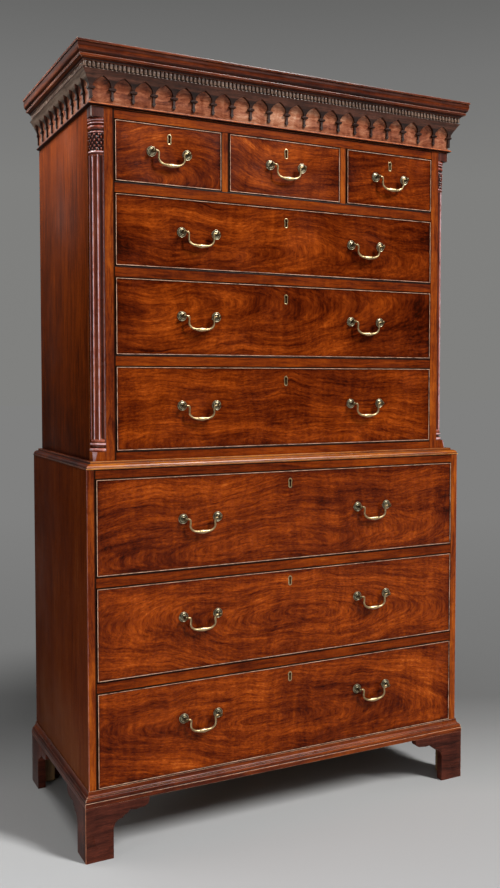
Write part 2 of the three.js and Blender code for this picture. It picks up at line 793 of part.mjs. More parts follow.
// Sides, back and bottom; the bottom board is let in above the lower edges of the sides
function drawerBox(width, height, depth) {
  const half = width / 2 - boxSideClearance;
  const front = frontThickness + fit;
  const back = depth - boxBackClearance;
  const lift = fit - drawerGap;
  const top = height - boxTopDrop;
  const inner = half - boxSideThickness;
  const tray = block([-half, half], [front, back], [lift, top]);
  const above = block(
    [-inner, inner],
    [front - overrun, back - boxSideThickness],
    [lift + boxBottomRise + boxBottomThickness, top + overrun],
  );
  const below = block(
    [-inner, inner],
    [front - overrun, back - boxSideThickness],
    [lift - overrun, lift + boxBottomRise],
  );
  return joined([tray], [above, below]);
}

const bailShape = bail();

function drawer({ name, x, y, opening, width, handleOffset, handleRise, keyholeDrop }) {
  const group = new THREE.Group();
  const z = opening.height / 2 + handleRise;
  const pair = [{ x: -handleOffset, z, mark: '_left' }, { x: handleOffset, z, mark: '_right' }];
  const handles = handleOffset ? pair : [{ x: 0, z, mark: '' }];
  group.add(piece(`${name}_front`, drawerFront(width, opening.height, handles, keyholeDrop), flameMahogany));
  group.add(piece(`${name}_box`, drawerBox(width, opening.height, backFace - y), oak));
  for (const handle of handles) {
    const hanging = piece(`${name}_bail${handle.mark}`, bailShape, brass);
    hanging.position.set(handle.x, -postReach, handle.z);
    group.add(hanging);
  }
  group.position.set(x, y, opening.bottom + drawerGap);
  return group;
}

lowerOpenings.forEach((opening, place, all) => {
  const width = 2 * (lowerOpeningHalf - drawerGap);
  const name = `lower_drawer_${all.length - place}`;
  const brasses = {
    handleOffset: lowerHandleOffset,
    handleRise: lowerHandleRises[place],
    keyholeDrop: lowerKeyholeDrops[place],
  };
  lowerCase.add(drawer({ name, x: 0, y: 0, opening, width, ...brasses }));
});
upperOpenings.slice(0, -1).forEach((opening, place, all) => {
  const width = 2 * (upperOpeningHalf - drawerGap);
  const name = `upper_drawer_${all.length - place}`;
  const brasses = {
    handleOffset: upperHandleOffset,
    handleRise: upperHandleRises[place],
    keyholeDrop: upperKeyholeDrops[place],
  };
  upperCase.add(drawer({ name, x: 0, y: upperFront, opening, width, ...brasses }));
});
const outerFrontInner = middleFrontWidth / 2 + 2 * drawerGap + partitionThickness;
const outerFrontOuter = upperOpeningHalf - drawerGap;
const outerFrontWidth = outerFrontOuter - outerFrontInner;
const outerFrontCentre = (outerFrontInner + outerFrontOuter) / 2;
const smallDrawers = [
  { name: 'small_drawer_left', x: -outerFrontCentre, width: outerFrontWidth },
  { name: 'small_drawer_middle', x: 0, width: middleFrontWidth },
  { name: 'small_drawer_right', x: outerFrontCentre, width: outerFrontWidth },
];
for (const small of smallDrawers) {
  const brasses = { handleOffset: 0, handleRise: smallHandleRise, keyholeDrop: smallKeyholeDrop };
  upperCase.add(drawer({ ...small, y: upperFront, opening: smallOpening, ...brasses }));
}

const frontReach = Math.max(postReach + headRadius, corniceProjection - upperFront, baseProjection);
const chest = new THREE.Group();
chest.add(lowerCase, upperCase);
chest.position.y = (frontReach - lowerDepth) / 2;

export default chest;
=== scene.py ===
"""A mahogany chest on chest, dressed for its portrait.

Lengths of the chest are in millimetres in this file and turn to metres when a mesh is made. The
camera, the lamps and the floor are placed in metres. +X is to the right, the front faces -Y, +Z is
up, and the floor is at zero.
"""

import math

import bmesh
import bpy
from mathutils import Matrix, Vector
from mathutils.geometry import tessellate_polygon


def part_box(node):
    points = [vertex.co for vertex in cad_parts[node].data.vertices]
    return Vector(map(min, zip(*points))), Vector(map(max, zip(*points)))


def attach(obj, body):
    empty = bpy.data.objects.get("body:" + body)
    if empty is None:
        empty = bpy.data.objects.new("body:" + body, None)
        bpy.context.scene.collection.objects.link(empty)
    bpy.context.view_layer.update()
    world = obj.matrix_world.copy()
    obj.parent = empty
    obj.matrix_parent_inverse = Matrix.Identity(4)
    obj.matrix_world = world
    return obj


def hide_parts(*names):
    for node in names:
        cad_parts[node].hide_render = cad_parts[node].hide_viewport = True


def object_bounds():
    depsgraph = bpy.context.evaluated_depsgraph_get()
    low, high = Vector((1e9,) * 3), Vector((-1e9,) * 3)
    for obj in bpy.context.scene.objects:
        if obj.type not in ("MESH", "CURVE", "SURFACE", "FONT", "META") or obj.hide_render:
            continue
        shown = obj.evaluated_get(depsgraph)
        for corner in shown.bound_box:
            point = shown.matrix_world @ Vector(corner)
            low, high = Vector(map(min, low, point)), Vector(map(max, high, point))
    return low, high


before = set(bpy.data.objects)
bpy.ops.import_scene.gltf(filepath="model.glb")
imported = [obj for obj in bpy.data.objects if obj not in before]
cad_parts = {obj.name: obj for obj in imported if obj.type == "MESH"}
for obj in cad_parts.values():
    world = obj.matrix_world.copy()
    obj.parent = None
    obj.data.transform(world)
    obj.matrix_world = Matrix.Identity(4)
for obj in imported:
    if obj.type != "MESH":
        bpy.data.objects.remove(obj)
cad_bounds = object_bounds()

MM = 0.001
CASE = "chest_case"
SIDES = ((-1, "left"), (1, "right"))
scene = bpy.context.scene

# Camera: where the photograph was taken from, and its lens

CAMERA_PLACE = (-1.1235, -2.2988, 1.0951)
CAMERA_TURN = 26.843
CAMERA_DROP = 2.521
SENSOR_LONG_SIDE = 36.0
FOCAL_SHARE = 943.84 / 888
CAMERA_SHIFT = (-0.01243, -0.02421)
CLIP_NEAR, CLIP_FAR = 0.05, 100
camera = bpy.data.objects.new("camera", bpy.data.cameras.new("camera"))
scene.collection.objects.link(camera)
camera.location = CAMERA_PLACE
camera.rotation_euler = (math.radians(90 - CAMERA_DROP), 0, math.radians(-CAMERA_TURN))
camera.data.sensor_fit = "AUTO"
camera.data.sensor_width = SENSOR_LONG_SIDE
camera.data.lens = SENSOR_LONG_SIDE * FOCAL_SHARE
camera.data.shift_x, camera.data.shift_y = CAMERA_SHIFT
camera.data.clip_start, camera.data.clip_end = CLIP_NEAR, CLIP_FAR
scene.camera = camera

# Sizes, read from the frame where it has them


def node_box(node):
    low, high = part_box(node)
    return low / MM, high / MM


LOWER_LOW, LOWER_HIGH = node_box("lower_side_right")
LOWER_HALF = LOWER_HIGH.x
LOWER_FRONT = LOWER_LOW.y
BACK = LOWER_HIGH.y
UPPER_LOW, UPPER_HIGH = node_box("upper_side_right")
UPPER_HALF = UPPER_HIGH.x
UPPER_FRONT = UPPER_LOW.y
OPENING_HALF = UPPER_LOW.x
BOARD_BACK = node_box("lower_top_board")[1].y
NOTCH = 30
NOTCH_HALF = UPPER_HALF - NOTCH
NOTCH_BACK = UPPER_FRONT + NOTCH
CASE_BOARD = 18
BOTTOM_BOARD = 20
DUST_BOARD = 12
UPPER_INNER = UPPER_HALF - CASE_BOARD
STILE_DEPTH = 55
STILE_BACK = UPPER_FRONT + STILE_DEPTH
RAIL_DEPTH = 75
# the play of a drawer in its opening, the gap between fitted parts, and the hairline of a glued joint
DRAWER_GAP = 1.2
JOINT = 0.3
HAIRLINE = 0.1

# Materials


def linear(hex_code):
    values = [int(hex_code[place:place + 2], 16) / 255 for place in (1, 3, 5)]
    return tuple(v / 12.92 if v <= 0.04045 else ((v + 0.055) / 1.055) ** 2.4 for v in values) + (1.0,)


def add(tree, kind, inputs=None, stops=(), **settings):
    """One node with its settings, its inputs and the stops of its ramp. An input is a value, a
    socket, or a node that gives its first output."""
    node = tree.nodes.new("ShaderNode" + kind)
    for key, value in settings.items():
        setattr(node, key, value)
    for key, value in (inputs or {}).items():
        if isinstance(value, bpy.types.Node):
            value = value.outputs[0]
        if isinstance(value, bpy.types.NodeSocket):
            tree.links.new(value, node.inputs[key])
        else:
            node.inputs[key].default_value = value
    if stops:
        elements = node.color_ramp.elements
        while len(elements) < len(stops):
            elements.new(0.5)
        for element, (position, colour) in zip(elements, stops):
            element.position = position
            element.color = linear(colour)
    return node


def new_material(name):
    material = bpy.data.materials.new(name)
    material.use_nodes = True
    material.node_tree.nodes.clear()
    return material, material.node_tree


def scales(grain, along, across):
    """Cells of a texture in a metre, few along the grain and many across it."""
    made = [across, across, across]
    made["XYZ".index(grain)] = along
    return tuple(made)


def board_places(tree):
    """Places in the frame, and the same shifted for each board, so that no two are from one tree."""
    places = add(tree, "TexCoord").outputs["Object"]
    board = add(tree, "Attribute", attribute_name="board").outputs["Fac"]
    shift = add(tree, "CombineXYZ", {0: board, 1: board, 2: board})
    return places, add(tree, "VectorMath", {0: places, 1: shift}, operation="ADD")


def centred_noise(tree, places, grain, along, across, **inputs):
    """Noise drawn out along the grain, and moved to lie round zero."""
    sized = add(tree, "Mapping", {"Vector": places, "Scale": scales(grain, along, across)})
    noise = add(tree, "TexNoise", {"Vector": sized, "Scale": 1.0, **inputs})
    return add(tree, "Math", {0: noise, 1: 0.5}, operation="SUBTRACT")


def patch_sum(tree, places, patches, total):
    """Adds soft ovals of lighter or darker tone, for the figure of the wood and for painted light and
    shade: centre x and z, half sizes, tilt and strength.
    """
    for x, z, half_x, half_z, tilt, strength in patches:
        centred = add(tree, "VectorMath", {0: places, 1: (x * MM, 0, z * MM)}, operation="SUBTRACT")
        level = add(tree, "VectorRotate", {"Vector": centred, "Angle": math.radians(tilt)},
            rotation_type="Y_AXIS")
        shrink = (1 / (half_x * MM), 0, 1 / (half_z * MM))
        sized = add(tree, "VectorMath", {0: level, 1: shrink}, operation="MULTIPLY")
        far = add(tree, "VectorMath", {0: sized}, operation="LENGTH").outputs["Value"]
        near = add(tree, "MapRange", {"Value": far, 1: 0.0, 2: 1.0, 3: strength, 4: 0.0},
            interpolation_type="SMOOTHERSTEP")
        total = add(tree, "Math", {0: total, 1: near}, operation="ADD")
    return total


def ring_places(tree, places, heart, tilt):
    """Places round the heart (x, z, flatness) of a figure. Streaks bend to ovals round it, as where
    a veneer cuts through the rings."""
    x, z, flatness = heart
    off = add(tree, "VectorMath", {0: places, 1: (x * MM, 0, z * MM)}, operation="SUBTRACT")
    level = add(tree, "VectorRotate", {"Vector": off, "Angle": math.radians(tilt)},
        rotation_type="Y_AXIS")
    flat = add(tree, "VectorMath", {0: level, 1: (flatness, 0, 1)}, operation="MULTIPLY")
    ring = add(tree, "VectorMath", {0: flat}, operation="LENGTH").outputs["Value"]
    parts = add(tree, "SeparateXYZ", {0: level}).outputs
    # a little of the height keeps the two halves of an oval from mirroring each other
    unlike = add(tree, "Math", {0: parts["Z"], 1: 0.07}, operation="MULTIPLY")
    return add(tree, "CombineXYZ", {0: parts["X"], 1: unlike, 2: ring})


def rim_sum(tree, places, low, high, reach, strength, total):
    """Adds the polish and grime that gather along the edges of a drawer front."""
    (x0, z0), (x1, z1) = low, high
    middle = Vector(((x0 + x1) / 2, 0, (z0 + z1) / 2)) * MM
    half = Vector(((x1 - x0) / 2, 0, (z1 - z0) / 2)) * MM
    off = add(tree, "VectorMath", {0: places, 1: tuple(middle)}, operation="SUBTRACT")
    size = add(tree, "VectorMath", {0: off}, operation="ABSOLUTE")
    left = add(tree, "VectorMath", {0: tuple(half), 1: size}, operation="SUBTRACT")
    parts = add(tree, "SeparateXYZ", {0: left}).outputs
    nearest = add(tree, "Math", {0: parts["X"], 1: parts["Z"]}, operation="MINIMUM")
    edge = add(tree, "MapRange", {"Value": nearest, 1: 0.0, 2: reach * MM, 3: -strength, 4: 0.0},
        interpolation_type="SMOOTHSTEP")
    return add(tree, "Math", {0: total, 1: edge}, operation="ADD")


# The figure of mahogany, in cells to the metre along the grain and across it. Ribbons are about
# 65 mm wide, streaks 10, flecks 3 and fibres 1.2. The mottle crosses the grain every 20 mm, and the
# late wood of the rings is cut 5 mm wide. The pores are drawn 0.5 mm wide, coarser than life, so
# that they show.
RIBBON = {"along": 2.6, "across": 15.0, "Detail": 3.0, "Roughness": 0.5}
STREAK = {"along": 8.0, "across": 95.0, "Detail": 5.0, "Roughness": 0.68, "Distortion": 0.25}
MOTTLE = {"along": 48.0, "across": 8.0, "Detail": 2.0, "Roughness": 0.5, "Distortion": 0.4}
FLECK = {"along": 110.0, "across": 320.0, "Detail": 3.0, "Roughness": 0.7}
FIBRE = {"along": 40.0, "across": 800.0, "Detail": 2.0, "Roughness": 0.6}
LATE_WOOD = {"along": 9.0, "across": 210.0, "Detail": 4.0, "Roughness": 0.62, "Distortion": 0.25}
PORE = {"along": 130.0, "across": 2100.0, "Detail": 1.0}
FIBRE_SHARE = 0.3
MIDDLE_TONE = 0.52
# rubbed places are 18 mm across, and clouds in the polish 110
CHAFE = {"Scale": 55.0, "Detail": 3.0, "Roughness": 0.65}
HAZE = {"Scale": 9.0, "Detail": 3.0}


def mahogany(name, grain, tones, warp=0.02, flow=4.0, tilt=0.0, seed=0.0, patches=(), heart=None,
        broad=0.8, streak=1.0, lines=0.15, mottle=0.25, fleck=0.35, gloss=0.3, polish=0.2,
        wear="#c98a5a", wear_share=0.75, grime="#120502", rim=None, shade=0.0):
    """Mahogany under old French polish: soft ribbons and darker streaks along the grain, a faint
    mottle across it, fine dark pores, pale rubbed arrises with some painted highlights, and grime with
    painted shade."""
    material, tree = new_material(name)
    places, moved = board_places(tree)
    apart = (seed, seed * 0.7, seed * 1.3)
    drift = add(tree, "TexNoise",
        {"Vector": add(tree, "VectorMath", {0: moved, 1: apart}, operation="ADD"),
         "Scale": flow, "Detail": 3.0, "Roughness": 0.42}).outputs["Color"]
    centred = add(tree, "VectorMath", {0: drift, 1: (0.5, 0.5, 0.5)}, operation="SUBTRACT")
    flowed = add(tree, "VectorMath",
        {0: centred, 1: (warp * 2, warp * 2, warp * 2), 2: places if heart else moved},
        operation="MULTIPLY_ADD")
    if heart:
        placed = ring_places(tree, flowed, heart, tilt)
    else:
        placed = add(tree, "VectorRotate", {"Vector": flowed, "Angle": math.radians(tilt)},
            rotation_type="Y_AXIS")
    wood = add(tree, "VectorMath", {0: placed, 1: apart}, operation="ADD")

    ribbon = centred_noise(tree, wood, grain, **RIBBON)
    total = add(tree, "Math", {0: ribbon, 1: broad, 2: MIDDLE_TONE + shade}, operation="MULTIPLY_ADD")
    for figure, share in ((STREAK, streak), (MOTTLE, mottle), (FLECK, fleck), (FIBRE, FIBRE_SHARE)):
        total = add(tree, "Math", {0: centred_noise(tree, wood, grain, **figure), 1: share, 2: total},
            operation="MULTIPLY_ADD")
    late = centred_noise(tree, wood, grain, **LATE_WOOD)
    line = add(tree, "MapRange", {"Value": late, 1: -0.14, 2: -0.01, 3: -lines, 4: 0.0},
        interpolation_type="SMOOTHSTEP")
    total = add(tree, "Math", {0: total, 1: line}, operation="ADD")
    total = patch_sum(tree, places, patches, total)
    if rim:
        total = rim_sum(tree, places, *rim, total)
    tone = add(tree, "ValToRGB", {"Fac": total}, stops=tones)
    pore = centred_noise(tree, wood, grain, **PORE)
    pore_dark = add(tree, "MapRange", {"Value": pore, 1: 0.1, 2: 0.22, 3: 0.0, 4: 0.45})
    pored = add(tree, "Mix", {0: pore_dark, 6: tone, 7: linear(tones[0][1])}, data_type="RGBA")

    # the arris layer is positive where hands rub the polish off and where highlights are painted, and
    # negative where grime gathers and where shade is painted
    arris = add(tree, "Attribute", attribute_name="arris").outputs["Fac"]
    chafed = add(tree, "TexNoise", {"Vector": moved, **CHAFE})
    rubbed = add(tree, "MapRange", {"Value": chafed, 1: 0.3, 2: 0.6, 3: 0.15, 4: wear_share})
    worn = add(tree, "Math", {0: arris, 1: rubbed}, operation="MULTIPLY", use_clamp=True)
    sunk = add(tree, "Math", {0: arris, 1: -0.95}, operation="MULTIPLY", use_clamp=True)
    lit = add(tree, "Mix", {0: worn, 6: pored.outputs[2], 7: linear(wear)}, data_type="RGBA")
    grimed_and_shaded = add(tree, "Mix", {0: sunk, 6: lit.outputs[2], 7: linear(grime)}, data_type="RGBA")
    haze = add(tree, "TexNoise", {"Vector": moved, **HAZE})
    dull = add(tree, "MapRange", {"Value": haze, 1: 0.3, 2: 0.7, 3: gloss - 0.04, 4: gloss + 0.1})
    ripple = add(tree, "Bump", {"Height": pore_dark, "Strength": 0.12, "Distance": 0.0002},
        invert=True)
    swell = add(tree, "Bump",
        {"Height": ribbon, "Strength": 0.2, "Distance": 0.002, "Normal": ripple})
    shader = add(tree, "BsdfPrincipled",
        {"Base Color": grimed_and_shaded.outputs[2], "Roughness": dull, "IOR": 1.5,
         "Specular IOR Level": polish, "Normal": swell})
    add(tree, "OutputMaterial", {"Surface": shader})
    return material


def plain_wood(name, grain, tones, pitch=70.0, gloss=0.62, grime="#2a1c10"):
    """Unpolished oak or deal, aged: open grain lines, dry and matt. The pitch is how many lines lie
    in 1000 mm, so 70 are 14 mm apart, with finer lines between them. Fibres are 1.1 mm wide, and
    stains 170 mm across."""
    material, tree = new_material(name)
    places, moved = board_places(tree)
    drift = add(tree, "TexNoise", {"Vector": moved, "Scale": 3.0, "Detail": 1.0}).outputs["Color"]
    drifted = add(tree, "VectorMath", {0: drift, 1: (0.03, 0.03, 0.03), 2: moved},
        operation="MULTIPLY_ADD")
    lines = add(tree, "Mapping", {"Vector": drifted, "Scale": scales(grain, 2.0, pitch)})
    ring = add(tree, "TexNoise",
        {"Vector": lines, "Scale": 1.0, "Detail": 3.0, "Roughness": 0.6, "Distortion": 0.4})
    fibres = add(tree, "Mapping", {"Vector": drifted, "Scale": scales(grain, 28.0, 900.0)})
    fibre = add(tree, "TexNoise", {"Vector": fibres, "Scale": 1.0, "Detail": 2.0})
    mixed = add(tree, "Math", {0: fibre, 1: 0.45, 2: -0.22}, operation="MULTIPLY_ADD")
    summed = add(tree, "Math", {0: ring, 1: mixed}, operation="ADD")
    tone = add(tree, "ValToRGB", {"Fac": summed}, stops=tones)
    stain = add(tree, "TexNoise", {"Vector": places, "Scale": 6.0, "Detail": 4.0})
    stained = add(tree, "MapRange", {"Value": stain, 1: 0.48, 2: 0.75, 3: 0.0, 4: 0.4})
    arris = add(tree, "Attribute", attribute_name="arris").outputs["Fac"]
    rubbed = add(tree, "Math", {0: arris, 1: 0.35}, operation="MULTIPLY", use_clamp=True)
    aged = add(tree, "Mix", {0: stained, 6: tone, 7: linear(grime)}, data_type="RGBA")
    pale = add(tree, "Mix", {0: rubbed, 6: aged.outputs[2], 7: linear(tones[-1][1])},
        data_type="RGBA")
    relief = add(tree, "Bump", {"Height": summed, "Strength": 0.35, "Distance": 0.0004})
    shader = add(tree, "BsdfPrincipled",
        {"Base Color": pale.outputs[2], "Roughness": gloss, "IOR": 1.45, "Normal": relief})
    add(tree, "OutputMaterial", {"Surface": shader})
    return material


def cast_metal(name, clean, tarnish, rough, spots=140.0, share=0.55):
    """Cast and turned metal: clean where hands rub it, tarnished in the hollows and in specks. There
    are 140 specks in 1000 mm, so one is 7 mm across with finer ones in it."""
    material, tree = new_material(name)
    moved = board_places(tree)[1]
    speck = add(tree, "TexNoise",
        {"Vector": moved, "Scale": spots, "Detail": 4.0, "Roughness": 0.65})
    arris = add(tree, "Attribute", attribute_name="arris").outputs["Fac"]
    hollow = add(tree, "Math", {0: arris, 1: -0.55, 2: speck}, operation="MULTIPLY_ADD")
    aged = add(tree, "MapRange", {"Value": hollow, 1: 0.42, 2: 0.78, 3: 0.0, 4: share * 1.6})
    tone = add(tree, "Mix", {0: aged, 6: linear(clean), 7: linear(tarnish)}, data_type="RGBA",
        clamp_factor=True)
    dull = add(tree, "MapRange", {"Value": hollow, 1: 0.3, 2: 0.8, 3: rough - 0.06, 4: rough + 0.25})
    relief = add(tree, "Bump", {"Height": speck, "Strength": 0.25, "Distance": 0.0004})
    shader = add(tree, "BsdfPrincipled",
        {"Base Color": tone.outputs[2], "Metallic": 1.0, "Roughness": dull, "Normal": relief})
    add(tree, "OutputMaterial", {"Surface": shader})
    return material


def tones(*colours, at=(0.1, 0.35, 0.55, 0.75, 0.95)):
    """The stops of a ramp, from the darkest wood to the palest."""
    return list(zip(at, colours))


SIDE_STOPS = (0.1, 0.35, 0.55, 0.8, 0.95)
LINING_STOPS = (0.2, 0.45, 0.65, 0.9)
FRONT_TONES = tones("#260700", "#3e0f01", "#541a03", "#6b2706", "#863609", "#a04610", "#b85c1e",
    at=(0.0, 0.14, 0.31, 0.5, 0.69, 0.86, 1.0))
RAIL_TONES = tones("#2c0902", "#541c05", "#722c07", "#8c3c09", "#a45416")
UPRIGHT_TONES = tones("#3a1208", "#68280c", "#8a3e10", "#a65214", "#be6e2a")
SIDE_TONES = tones("#2c0d02", "#4e1c03", "#6c2a04", "#863806", "#a04e10", at=SIDE_STOPS)
# its two palest stops are greyed, a painted reflection of the floor on the paler foot of the lower
# sides
LOW_SIDE_TONES = tones("#2a0b01", "#4a1902", "#5c2404", "#6c3818", "#7c5038", at=SIDE_STOPS)
MOULDING_TONES = tones("#2e0e05", "#541e09", "#74310c", "#904310", "#a95c22")
WAIST_LIT_TONES = tones("#461802", "#783202", "#9c4e04", "#bc6a0c", "#d68c26")
CROWN_TONES = tones("#280c04", "#4a1a09", "#66290e", "#803814", "#964a20")
CROWN_RETURN_LIT_TONES = tones("#240c04", "#481c08", "#6a2e0e", "#864214", "#9c5826")
COLUMN_TONES = tones("#44180e", "#863822", "#b05536", "#c66e48", "#d89270")
DARK_TONES = tones("#1c0b07", "#38170f", "#502418", "#663022", "#80463a")
FRET_TONES = tones("#24120a", "#48281a", "#643a2a", "#7c5040", "#946a58")
FRET_RETURN_SHEEN_TONES = tones("#2a1c14", "#584436", "#7c6656", "#988474", "#b0a092")
DENTIL_TONES = tones("#38241c", "#644a3c", "#866a58", "#a08474", "#b49c8c")
GROUND_TONES = tones("#4a2214", "#7c4028", "#a06042", "#be8464", "#d8b096")
OAK_TONES = tones("#5e4225", "#86643a", "#a07c4c", "#b89664", at=LINING_STOPS)
DEAL_TONES = tones("#4a3420", "#6e5032", "#866641", "#9c7d55", at=LINING_STOPS)

WOODS = {
    # stiles and rails: veneered, polished often, with greyed arrises
    "case_upright": mahogany("polished_mahogany_upright", "Z", UPRIGHT_TONES, seed=3.1,
        wear="#b8989c", polish=0.06, wear_share=0.9),
    "case_across": mahogany("polished_mahogany_across", "X", RAIL_TONES, seed=7.7,
        wear="#b07c5c", polish=0.06),
    # sides: plain straight-grained boards, duller than the front, with painted light and shade: the
    # upper sides paler at the top and darker lower down, the lower sides darker at the top and paler at
    # the foot
    "side_lower": mahogany("polished_mahogany_lower_sides", "Z", LOW_SIDE_TONES, seed=11.3,
        broad=0.5, streak=0.6, lines=0.12, warp=0.008, mottle=0.06, gloss=0.42, polish=0.04,
        patches=[(0, 160, 3000, 280, 0, 0.2), (0, 760, 3000, 220, 0, -0.09)]),
    "side_upper": mahogany("polished_mahogany_upper_sides", "Z", SIDE_TONES, seed=15.9,
        broad=0.5, streak=0.9, lines=0.18, warp=0.008, mottle=0.06, gloss=0.34, polish=0.03,
        patches=[(0, 1700, 3000, 260, 0, 0.2), (0, 900, 3000, 300, 0, -0.14)]),
    # mouldings: straight grain, rubbed pale on the edges that stand out
    "moulding_across": mahogany("moulded_mahogany_across", "X", MOULDING_TONES, seed=21.0,
        wear="#dcb898", wear_share=0.95, warp=0.006, polish=0.15, gloss=0.28),
    # returns of the base, waist and dentil mouldings: a darker copy of the front wood, painted shade
    "moulding_deep": mahogany("moulded_mahogany_returns_painted_shade", "Y", MOULDING_TONES, seed=23.0,
        wear="#b9907a", warp=0.006, polish=0.3, shade=-0.16),
    # the neck bead is painted: a highlight on its upper curve, shade beneath, and its returns a dark
    # copy of the wood as painted shade
    "neck_across": mahogany("neck_bead_mahogany_across", "X", MOULDING_TONES, seed=28.0,
        wear="#dc7c44", wear_share=0.95, warp=0.006, polish=0.1, grime="#0a0201"),
    "neck_deep": mahogany("neck_bead_mahogany_returns_painted_shade", "Y", DARK_TONES, seed=30.0,
        wear="#80503c", wear_share=0.6, warp=0.006, polish=0.1, grime="#0a0201"),
    "block_upright": mahogany("corner_block_mahogany", "Z", DARK_TONES, seed=36.0,
        wear="#c8bcb4", wear_share=0.95, polish=0.3, warp=0.006),
    # the waist moulding's front is a lighter, more orange copy of the moulding wood with yellow worn
    # arrises, a painted highlight; its returns stay darker
    "waist_across": mahogany("waist_mahogany_painted_highlight", "X", WAIST_LIT_TONES, seed=20.0,
        wear="#e8c084", wear_share=0.9, warp=0.006, polish=0.3, gloss=0.26),
    "crown_across": mahogany("crown_mahogany_across", "X", CROWN_TONES, seed=22.0,
        wear="#d8a488", wear_share=0.6, warp=0.006, polish=0.2, gloss=0.22),
    # the crown's returns are a lighter, more orange copy of the crown wood, painted light, and their
    # grey-white rubbed edges are partly a painted sheen
    "crown_deep": mahogany("crown_mahogany_returns_painted_light", "Y", CROWN_RETURN_LIT_TONES, seed=26.0,
        wear="#c8bab0", wear_share=0.8, warp=0.006, polish=0.06),
    "dentil": mahogany("dentil_mahogany", "X", DENTIL_TONES, seed=24.0,
        wear="#b09a8c", wear_share=0.95, warp=0.006, polish=0.4),
    "bracket_across": mahogany("bracket_mahogany", "X", DARK_TONES, seed=25.0,
        wear="#d8906a", wear_share=1.0, warp=0.02, polish=0.12),
    # carved and sawn work: grime and painted shade in the hollows, flutes and pendants, painted
    # highlights and sheen on the column's lands and leaf tips, and a painted sheen on the returns of
    # the fret
    "carved": mahogany("carved_dark_mahogany", "Z", COLUMN_TONES, seed=27.0,
        wear="#dcc4ca", wear_share=1.0, gloss=0.26, polish=0.35, warp=0.006, grime="#0e0406"),
    "fret": mahogany("sawn_mahogany_fret", "X", FRET_TONES, seed=29.0,
        wear="#9a8674", wear_share=0.9, gloss=0.34, polish=0.3, warp=0.01, grime="#080201"),
    "fret_deep": mahogany("sawn_mahogany_fret_returns_painted_sheen", "Y", FRET_RETURN_SHEEN_TONES, seed=29.5,
        wear="#9a8674", wear_share=0.9, gloss=0.34, polish=0.8, warp=0.01, grime="#080201"),
    # the frieze ground is painted darker towards its left end and lighter in the middle: painted light
    # and shade
    "frieze_across": mahogany("frieze_mahogany", "X", GROUND_TONES, seed=31.0, mottle=0.7,
        flow=16.0, patches=[(-500, 1740, 420, 300, 0, -0.14), (60, 1740, 260, 300, 0, 0.06)]),
    "frieze_deep": mahogany("frieze_mahogany_returns", "Y", GROUND_TONES, seed=33.0, mottle=0.7,
        flow=16.0, polish=0.6),
    # cockbeads: dark, with painted shade in the quirks beside the bead and a pale line where cloths
    # have rubbed them
    "cockbead": mahogany("cockbead_mahogany_painted_shade", "X", DARK_TONES, seed=35.0,
        wear="#ecbc9c", wear_share=1.0, warp=0.006, polish=0.1),
    # linings and dust boards: bare oak in the drawers, stained deal in the case
    "oak_deep": plain_wood("oak_lining_deep", "Y", OAK_TONES),
    "oak_across": plain_wood("oak_lining_across", "X", OAK_TONES),
    "deal_across": plain_wood("stained_deal_across", "X", DEAL_TONES, pitch=45.0, gloss=0.75),
    "deal_deep": plain_wood("stained_deal_deep", "Y", DEAL_TONES, pitch=45.0, gloss=0.75),
    "deal_upright": plain_wood("stained_deal_upright", "Z", DEAL_TONES, pitch=45.0, gloss=0.75),
}
# Old lacquered brass is pale gold where it is handled and brown in the hollows. The lock is filed
# steel, and its pins and works are dark iron.
BRASS = cast_metal("aged_brass", "#bfa67a", "#4c3c28", 0.37)
ROSE_BRASS = cast_metal("aged_brass_roses", "#a89c7e", "#2c2820", 0.36, share=0.8)
# the posts are coloured far darker than the other brass, painted shade at the middle of each rose
POST_BRASS = cast_metal("aged_brass_posts_painted_shade", "#5e5038", "#16120c", 0.4, share=0.8)
STEEL = cast_metal("lock_steel", "#8d8b86", "#3c3632", 0.42, spots=90.0)
IRON = cast_metal("nail_iron", "#241e1b", "#0c0908", 0.7, spots=220.0)

# Slot names, one for each kind of finish
MAHOGANY = "polished_mahogany"
VENEER = "figured_mahogany"
CARVING = "carved_mahogany"
OAK = "drawer_lining_oak"
GILT = "aged_brass"

# Meshes

ARRIS = "arris"
BOARD = "board"
boards_made = 0


def start():
    bm = bmesh.new()
    bm.verts.layers.float.new(ARRIS)
    bm.verts.layers.float.new(BOARD)
    return bm


def corner(bm, point):
    """A vertex. A fourth number says how worn (1) or sunk (-1) it is."""
    vert = bm.verts.new(point[:3])
    if len(point) > 3:
        vert[bm.verts.layers.float[ARRIS]] = point[3]
    return vert


def soften(bm, width, limit=30.0, worn=1.0):
    """Rounds the sharp outer edges, and marks the rounded ones as worn (1) or dirty (-1)."""
    bm.normal_update()
    edges = [edge for edge in bm.edges
             if len(edge.link_faces) == 2 and edge.calc_face_angle_signed() > math.radians(limit)]
    made = bmesh.ops.bevel(bm, geom=edges, offset=width, segments=2, profile=0.5, affect="EDGES",
        clamp_overlap=True)
    rounded = set(made["faces"])
    layer = bm.verts.layers.float[ARRIS]
    for vert in bm.verts:
        if vert.link_faces and all(face in rounded for face in vert.link_faces):
            vert[layer] = worn
    return bm


def loft(rings, closed=False, capped=True, bm=None):
    """A skin over rings of points. A closed loft joins its last ring to its first."""
    bm = bm or start()
    rows = [[corner(bm, point) for point in ring] for ring in rings]
    count = len(rings[0])
    for first, second in zip(rows, rows[1:] + (rows[:1] if closed else [])):
        for place in range(count):
            after = (place + 1) % count
            bm.faces.new((first[place], first[after], second[after], second[place]))
    if capped and not closed:
        bm.faces.new(rows[0][::-1])
        bm.faces.new(rows[-1])
    return bm


